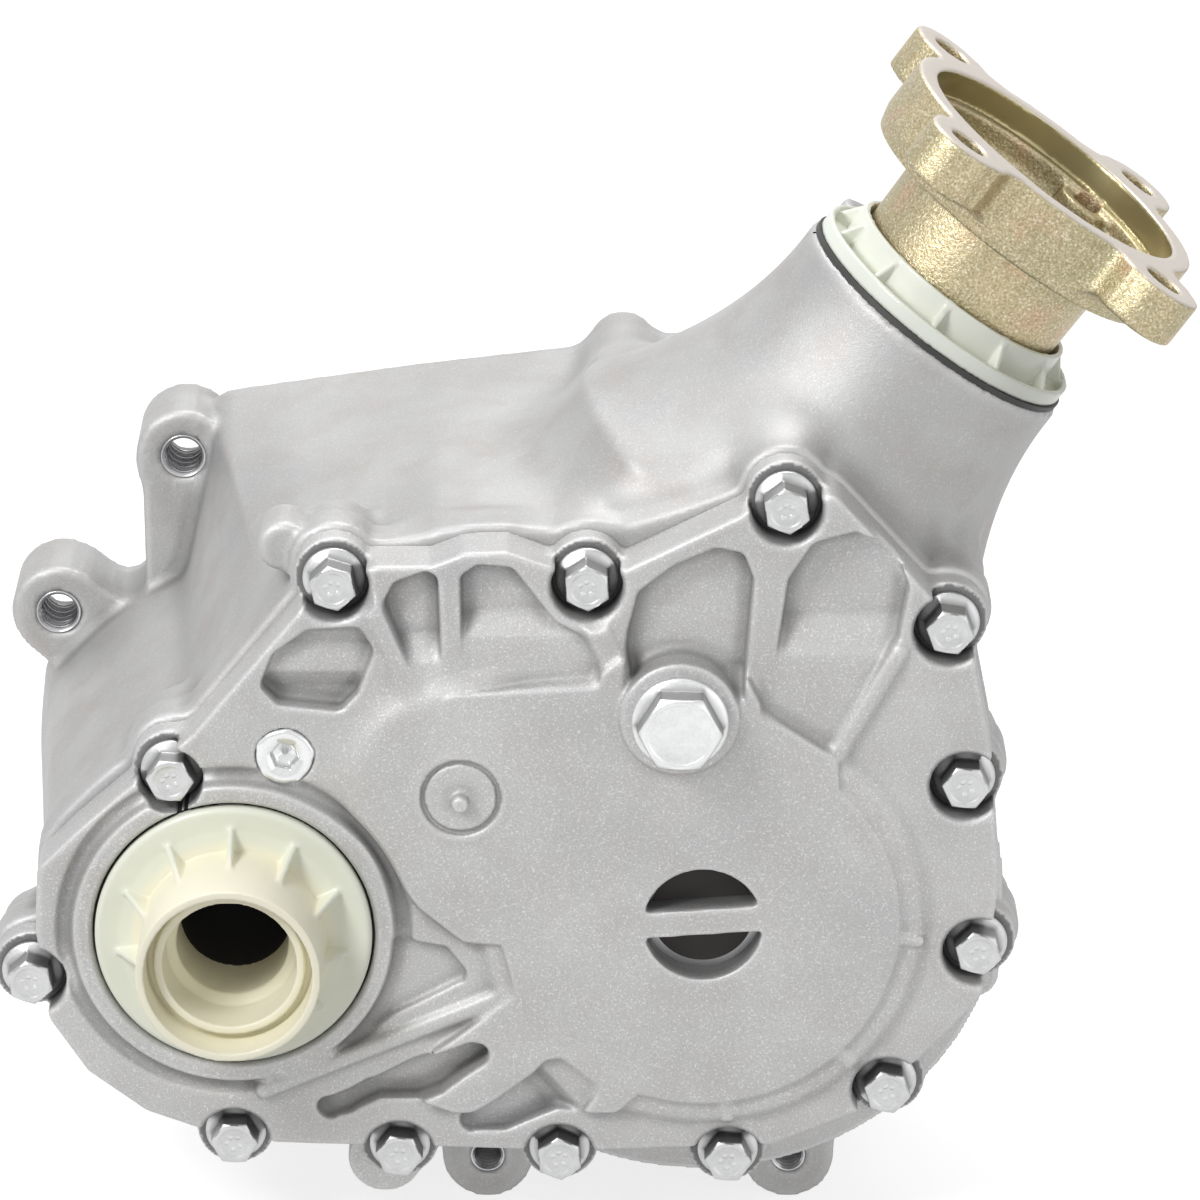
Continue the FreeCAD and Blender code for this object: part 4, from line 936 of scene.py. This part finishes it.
class Paint(Graph):
    """A material under construction, with the surface shader at hand."""

    def __init__(self, name):
        self.material = bpy.data.materials.new(name)
        self.material.use_nodes = True
        super().__init__(self.material.node_tree)
        self.shader = self.tree.nodes["Principled BSDF"]
        self.place = self.node("ShaderNodeTexCoord", {}, {}, "Object")

    def noise(self, size_mm, detail=2.0, roughness=0.5):
        """Noise whose features are about that many millimetres wide, from 0 to 1."""
        inputs = {"Vector": self.place, "Scale": 1.0 / (size_mm * MM), "Detail": detail,
                  "Roughness": roughness}
        return self.node("ShaderNodeTexNoise", {}, inputs)

    def mix(self, factor, first, second):
        """Colour from the first at 0 to the second at 1."""
        return self.node("ShaderNodeMix", {"data_type": "RGBA"}, {0: factor, 6: first, 7: second}, 2)

    def mask(self, label):
        """A named attribute of the mesh."""
        return self.node("ShaderNodeAttribute", {"attribute_name": label}, {}, "Fac")

    def bump(self, height, strength, distance_mm, normal=None):
        """A Bump node that feeds the shader or another Bump."""
        inputs = {"Strength": strength, "Distance": distance_mm * MM, "Height": height}
        if normal is not None:
            inputs["Normal"] = normal
        return self.node("ShaderNodeBump", {}, inputs)

    def finish(self, **sockets):
        """Sets the surface shader's sockets by name, underscores for spaces."""
        for key, value in sockets.items():
            self.put(self.shader.inputs[key.replace("_", " ")], value)
        return self.material


def grey(level, tint=(1.0, 1.0, 1.0)):
    """A colour from one level and a tint."""
    return (level * tint[0], level * tint[1], level * tint[2], 1.0)


# %% [markdown]
# ## Cast aluminium
# Blasted aluminium is pale grey, with a fine even grain, soft stains where the melt flowed,
# and brighter rubbed edges. The grain is bump and a little colour, the stains are low noise.

# %% Cast aluminium
def cast_aluminium(name, level, stain, sparkle):
    """Blasted casting: grain of under half a millimetre, painted glints, stains of one and a half and
    of four centimetres, painted shade where there is much metal about and on deep recess walls, and
    bright wear where there is little."""
    paint = Paint(name)
    grain = paint.noise(0.42, 2.0, 0.7)
    glint = paint.noise(0.62, 1.0, 0.5).between(0.56, 0.74)
    pits = paint.noise(1.7, 2.0, 0.6)
    flow = paint.noise(41.0, 3.0, 0.55)
    patch = paint.noise(15.0).between(0.45, 0.75)
    base = paint.mix(flow.between(0.3, 0.7), grey(level * 0.88), grey(level * 1.06, (1.0, 0.995, 0.985)))
    base = paint.mix(patch * stain, base, grey(level * 0.84, (1.05, 0.985, 0.95)))
    base = paint.mix(grain.between(0.62, 0.32) * sparkle, base, grey(level * 0.55))
    # Painted glints: bright specks of colour that stand in for light caught by the blasted grain.
    base = paint.mix(glint * sparkle, base, grey(min(level * 1.5, 0.95)))
    # Painted shade: darker where there is much metal round a point, in corners and recesses.
    corner_shade = paint.mask("share").between(0.52, 0.74)
    base = paint.mix(corner_shade * 0.7, base, grey(level * 0.28, (1.0, 0.985, 0.97)))
    worn = paint.mask("edge").between(0.47, 0.30)
    base = paint.mix(worn * 0.35, base, grey(min(level * 1.35, 0.95)))
    # Painted shade, near black, in deep counterbores, slots and holes.
    base = paint.mix(paint.mask("recess_shade") * 0.68, base, grey(0.04))
    rough = 0.54 + (grain - 0.5) * 0.3 + corner_shade * 0.15
    bump = paint.bump(grain, 0.55, 0.16, paint.bump(pits, 0.22, 0.3))
    return paint.finish(Base_Color=base, Roughness=rough, Metallic=0.6, Normal=bump)


cast_front = cast_aluminium("blasted_aluminium", 0.56, 0.55, 0.5)
cast_rear = cast_aluminium("drawn_aluminium", 0.49, 0.8, 0.3)
front_cover.data.materials.append(cast_front)
housing.data.materials.append(cast_rear)

# %% [markdown]
# ## Steel, zinc, nylon and rubber
# Everything inside is ground or rolled steel, the seals are rubber, the screws are zinc plated.
# The CAD meshes stay as they are and only get a better material.

# %% Finishes for metal
def turned_metal(name, level, tint, rough, metallic, streak_mm, depth=0.12):
    """Machined metal: fine streaks in colour and roughness, and a little mottling."""
    paint = Paint(name)
    fine = paint.noise(streak_mm, 2.0, 0.6)
    broad = paint.noise(7.0)
    base = paint.mix(broad, grey(level * 0.88, tint), grey(level * 1.08, tint))
    base = paint.mix(fine.between(0.4, 0.7) * 0.3, base, grey(min(level * 1.3, 1.0), tint))
    bump = paint.bump(fine, depth, 0.05)
    rough = rough + (fine - 0.5) * 0.15
    return paint.finish(Base_Color=base, Roughness=rough, Metallic=metallic, Normal=bump)


def marked_zinc(name, level, dots):
    """Plated bolt: satin plate, with small raised dots on the dish of its head, a painted highlight on
    the dots and painted shade on the sides of the hexagon.
    """
    paint = Paint(name)
    fine = paint.noise(0.7, 2.0, 0.6)
    broad = paint.noise(4.0)
    raised = 0.0
    for u, v in dots:
        across, along = paint.mask("mark_u") - u, paint.mask("mark_v") - v
        raised = (across * across + along * along).math("SQRT").between(0.85, 0.45) + raised
    on_top = paint.mask("height").between(9.9, 10.4)
    # Painted shade: the sides of the hexagon, between the flange and the top, are darker.
    side = paint.mask("height").between(2.3, 3.4) * (1.0 - paint.mask("height").between(9.4, 10.6))
    base = paint.mix(broad, grey(level * 0.85), grey(level * 1.1, (0.99, 1.0, 1.01)))
    base = paint.mix(fine.between(0.35, 0.7) * 0.35, base, grey(level * 1.25))
    # Painted highlight: the raised dots on the top are lighter.
    base = paint.mix(raised * on_top * 0.3, base, grey(min(level * 1.5, 0.95)))
    base = paint.mix(side * 0.6, base, grey(level * 0.35))
    bump = paint.bump(raised * on_top, 0.7, 0.3, paint.bump(fine, 0.15, 0.05))
    return paint.finish(Base_Color=base, Roughness=0.36 + (fine - 0.5) * 0.2, Metallic=0.85, Normal=bump)


def passivated(name):
    """Yellow zinc on a rough casting: grain with painted glints, films of green, orange and rose, and
    painted shade where there is much metal round a point.
    Where the lathe went, the face is pale and fine and the bore is smooth and darker."""
    paint = Paint(name)
    grain = paint.noise(0.75, 2.0, 0.7)
    lumps = paint.noise(1.8, 2.0, 0.6)
    film = paint.noise(20.0, 2.0, 0.55)
    rose = paint.noise(12.0, 1.0, 0.5).between(0.56, 0.72)
    base = paint.mix(film.between(0.3, 0.7), (0.43, 0.38, 0.23, 1), (0.56, 0.47, 0.29, 1))
    base = paint.mix(rose * 0.45, base, (0.62, 0.38, 0.26, 1))
    base = paint.mix(grain.between(0.5, 0.34) * 0.55, base, (0.20, 0.17, 0.09, 1))
    # Painted glints: pale specks where the grain would catch light.
    base = paint.mix(grain.between(0.55, 0.70) * 0.7, base, (0.90, 0.86, 0.70, 1))
    # Painted shade: darker where there is much metal round a point, in the corners and the cup.
    dark = paint.mask("share").between(0.55, 0.8)
    base = paint.mix(dark * 0.6, base, (0.14, 0.11, 0.05, 1))
    bored, faced = paint.mask("bored"), paint.mask("faced")
    base = paint.mix(bored, base, (0.40, 0.35, 0.19, 1))
    base = paint.mix(faced, base, paint.mix(lumps, (0.60, 0.55, 0.49, 1), (0.70, 0.64, 0.58, 1)))
    cut = bored.math("MAXIMUM", faced)
    rough = 0.38 - bored * 0.12 + faced * 0.08
    bump = paint.bump(grain * (1.0 - cut), 0.8, 0.25, paint.bump(lumps * (1.0 - cut), 0.5, 0.4))
    return paint.finish(Base_Color=base, Roughness=rough, Metallic=0.75, Normal=bump)


# %% Finishes for plastic and rubber
def moulded(name, colour, shade, rough, grain_mm):
    """Moulded rubber or plastic: a faint mottle, a fine grain and a soft sheen."""
    paint = Paint(name)
    mottle = paint.noise(14.0)
    grain = paint.noise(grain_mm, 2.0, 0.6)
    base = paint.mix(mottle.between(0.3, 0.7), colour, shade)
    bump = paint.bump(grain, 0.08, 0.05)
    return paint.finish(Base_Color=base, Roughness=rough + (grain - 0.5) * 0.1, Metallic=0.0, Normal=bump)


def milky(name, near, far, start, end):
    """Natural nylon: creamy where it is thick near the axis, greener and greyer where light
    passes through the thin disc, and painted shade, browner and darker, in its corners."""
    paint = Paint(name)
    cloud = paint.noise(9.0)
    grain = paint.noise(0.8)
    base = paint.mix(paint.mask("radius").between(start, end), near, far)
    base = paint.mix(cloud.between(0.35, 0.7) * 0.25, base, (0.86, 0.86, 0.76, 1))
    # Painted shade, tinted brown, where there is much nylon round a point.
    corner_shade = paint.mask("share").between(0.55, 0.9)
    base = paint.mix(corner_shade * 0.3, base, (0.60, 0.56, 0.38, 1))
    bump = paint.bump(grain, 0.06, 0.05)
    return paint.finish(Base_Color=base, Roughness=0.36 + (grain - 0.5) * 0.1, Metallic=0.0,
                        Coat_Weight=0.15, Normal=bump)


# %% Which finish goes where
DOTS = [(-1.9, 1.2), (0.0, 2.1), (1.9, 1.2), (-1.2, -1.6), (1.2, -1.6)]
ground_steel = turned_metal("ground_steel", 0.5, (1.0, 1.0, 1.02), 0.3, 1.0, 0.5)
zinc = marked_zinc("clear_zinc", 0.56, DOTS)
bright_zinc = turned_metal("polished_zinc", 0.74, (0.99, 1.0, 1.0), 0.2, 0.8, 0.5, 0.05)
plug_zinc = marked_zinc("plug_zinc", 0.72, [])
# Painted shade: near-black steel for the two shafts, which sit deep inside the housing.
shaded_black_steel = turned_metal("shaded_black_steel", 0.05, (1.1, 0.98, 0.95), 0.75, 0.1, 0.9)
yellow_zinc = passivated("yellow_zinc")
plug_nylon = milky("cream_nylon", (0.93, 0.89, 0.71, 1), (0.83, 0.85, 0.73, 1), 27.0, 31.0)
cap_nylon = milky("white_nylon", (0.84, 0.86, 0.77, 1), (0.80, 0.83, 0.76, 1), 30.0, 44.0)
rubber = moulded("seal_rubber", (0.03, 0.03, 0.03, 1), (0.05, 0.05, 0.048, 1), 0.55, 0.4)

PIECE_FINISH = [(bolts, zinc), (fill_plug, plug_zinc), (level_plug, bright_zinc), (flange, yellow_zinc),
                (sleeves, ground_steel), (plug, plug_nylon), (cap, cap_nylon)]
for piece, finish in PIECE_FINISH:
    piece.data.materials.append(finish)
SLOT_FINISH = {"ground_steel": ground_steel, "zinc_plated": bright_zinc, "yellow_zinc": yellow_zinc,
               "white_nylon": cap_nylon, "seal_rubber": rubber, "cast_aluminium": cast_front}
# The input and ring shafts take the near-black steel as painted shade.
SHADE_PAINTED_SHAFTS = ("input_shaft", "ring_shaft")
for row in frame["record"]["subparts"]:
    node = frame["nodes"][row["node"]]
    node.data.materials.clear()
    own = shaded_black_steel if row["node"] in SHADE_PAINTED_SHAFTS else SLOT_FINISH[row["material_slot"]]
    node.data.materials.append(own)
print("finishes:", sorted(SLOT_FINISH))

# %% [markdown]
# ## The studio
# The part stands on a pale floor that runs on as the background. The sky is white to the camera
# and softer to the metal, and three large lamps model the form.

# %% Floor
def looked_at(graph):
    """1 for the rays that show the studio to the camera, straight or by way of metal, and 0 for
    the rays that only gather light."""
    seen = 0.0
    for ray in ("Is Camera Ray", "Is Glossy Ray", "Is Transmission Ray"):
        seen = graph.node("ShaderNodeLightPath", {}, {}, ray) + seen
    return seen.between(0.0, 1.0)


FLOOR_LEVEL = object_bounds()[0][2] - 0.0005
FLOOR_HALF = 12000.0
floor_paint = Paint("studio_floor")
floor_colour = floor_paint.mix(floor_paint.noise(400.0, 1.0, 0.5), grey(0.5), grey(0.54))
glow = floor_paint.mix(looked_at(floor_paint), grey(0.0), grey(0.72))
floor_paint.finish(Base_Color=floor_colour, Roughness=0.9, Emission_Color=glow, Emission_Strength=1.0)
signs = ((-1, -1), (1, -1), (1, 1), (-1, 1))
corners = [(FLOOR_HALF * i, FLOOR_HALF * j, FLOOR_LEVEL / MM) for i, j in signs]
floor = make_object("studio_floor_plane", corners, [(0, 1, 2, 3)])
floor.data.materials.append(floor_paint.material)

# %% Light
def linked(name, data, place, turn):
    """An object of the scene that carries a lamp or a lens, placed in millimetres."""
    item = bpy.data.objects.new(name, data)
    bpy.context.scene.collection.objects.link(item)
    item.location = [part * MM for part in place]
    item.rotation_euler = turn
    return item


def lamp(name, place, aim, width, power):
    """A square area lamp that looks at a point, in millimetres and watts."""
    data = bpy.data.lights.new(name, "AREA")
    data.shape = "SQUARE"
    data.size = width * MM
    data.energy = power
    way = np.array(aim, float) - np.array(place, float)
    drop = math.atan2(math.hypot(way[0], way[1]), -way[2])
    print(f"{name}: {power} W, tilted {math.degrees(drop):.0f} degrees from straight down")
    return linked(name, data, place, (drop, 0.0, math.atan2(-way[0], way[1])))


AIM = (90, -80, 40)
lamp("key_lamp", (-650, -900, 1000), AIM, 420, 12)
lamp("fill_lamp", (1000, -900, 300), AIM, 900, 1.8)
lamp("top_lamp", (150, 350, 1200), AIM, 700, 7.7)

# %% Sky
SKY_LIGHT, SKY_SEEN = 0.32, 1.0
world = bpy.data.worlds.new("studio_sky")
bpy.context.scene.world = world
world.use_nodes = True
sky = Graph(world.node_tree)
background = sky.tree.nodes["Background"]
sky.put(background.inputs["Strength"], looked_at(sky) * (SKY_SEEN - SKY_LIGHT) + SKY_LIGHT)
sky.put(background.inputs["Color"], grey(1.0))
print("sky nodes:", len(sky.tree.nodes))

# %% [markdown]
# ## The camera
# The photograph was taken from straight in front and 21 degrees above, with a long lens.

# %% Camera
CAMERA_PLACE, ABOVE = (107.025, -1850.847, 753.868), 21.0
lens = bpy.data.cameras.new("long_lens")
lens.lens = 190.0
lens.sensor_width = 36.0
lens.clip_end = 100.0
camera = linked("camera", lens, CAMERA_PLACE, (math.radians(90 - ABOVE), 0.0, 0.0))
bpy.context.scene.camera = camera
bpy.context.scene.view_settings.view_transform = "Standard"
print("camera:", CAMERA_PLACE, "mm,", ABOVE, "degrees above")
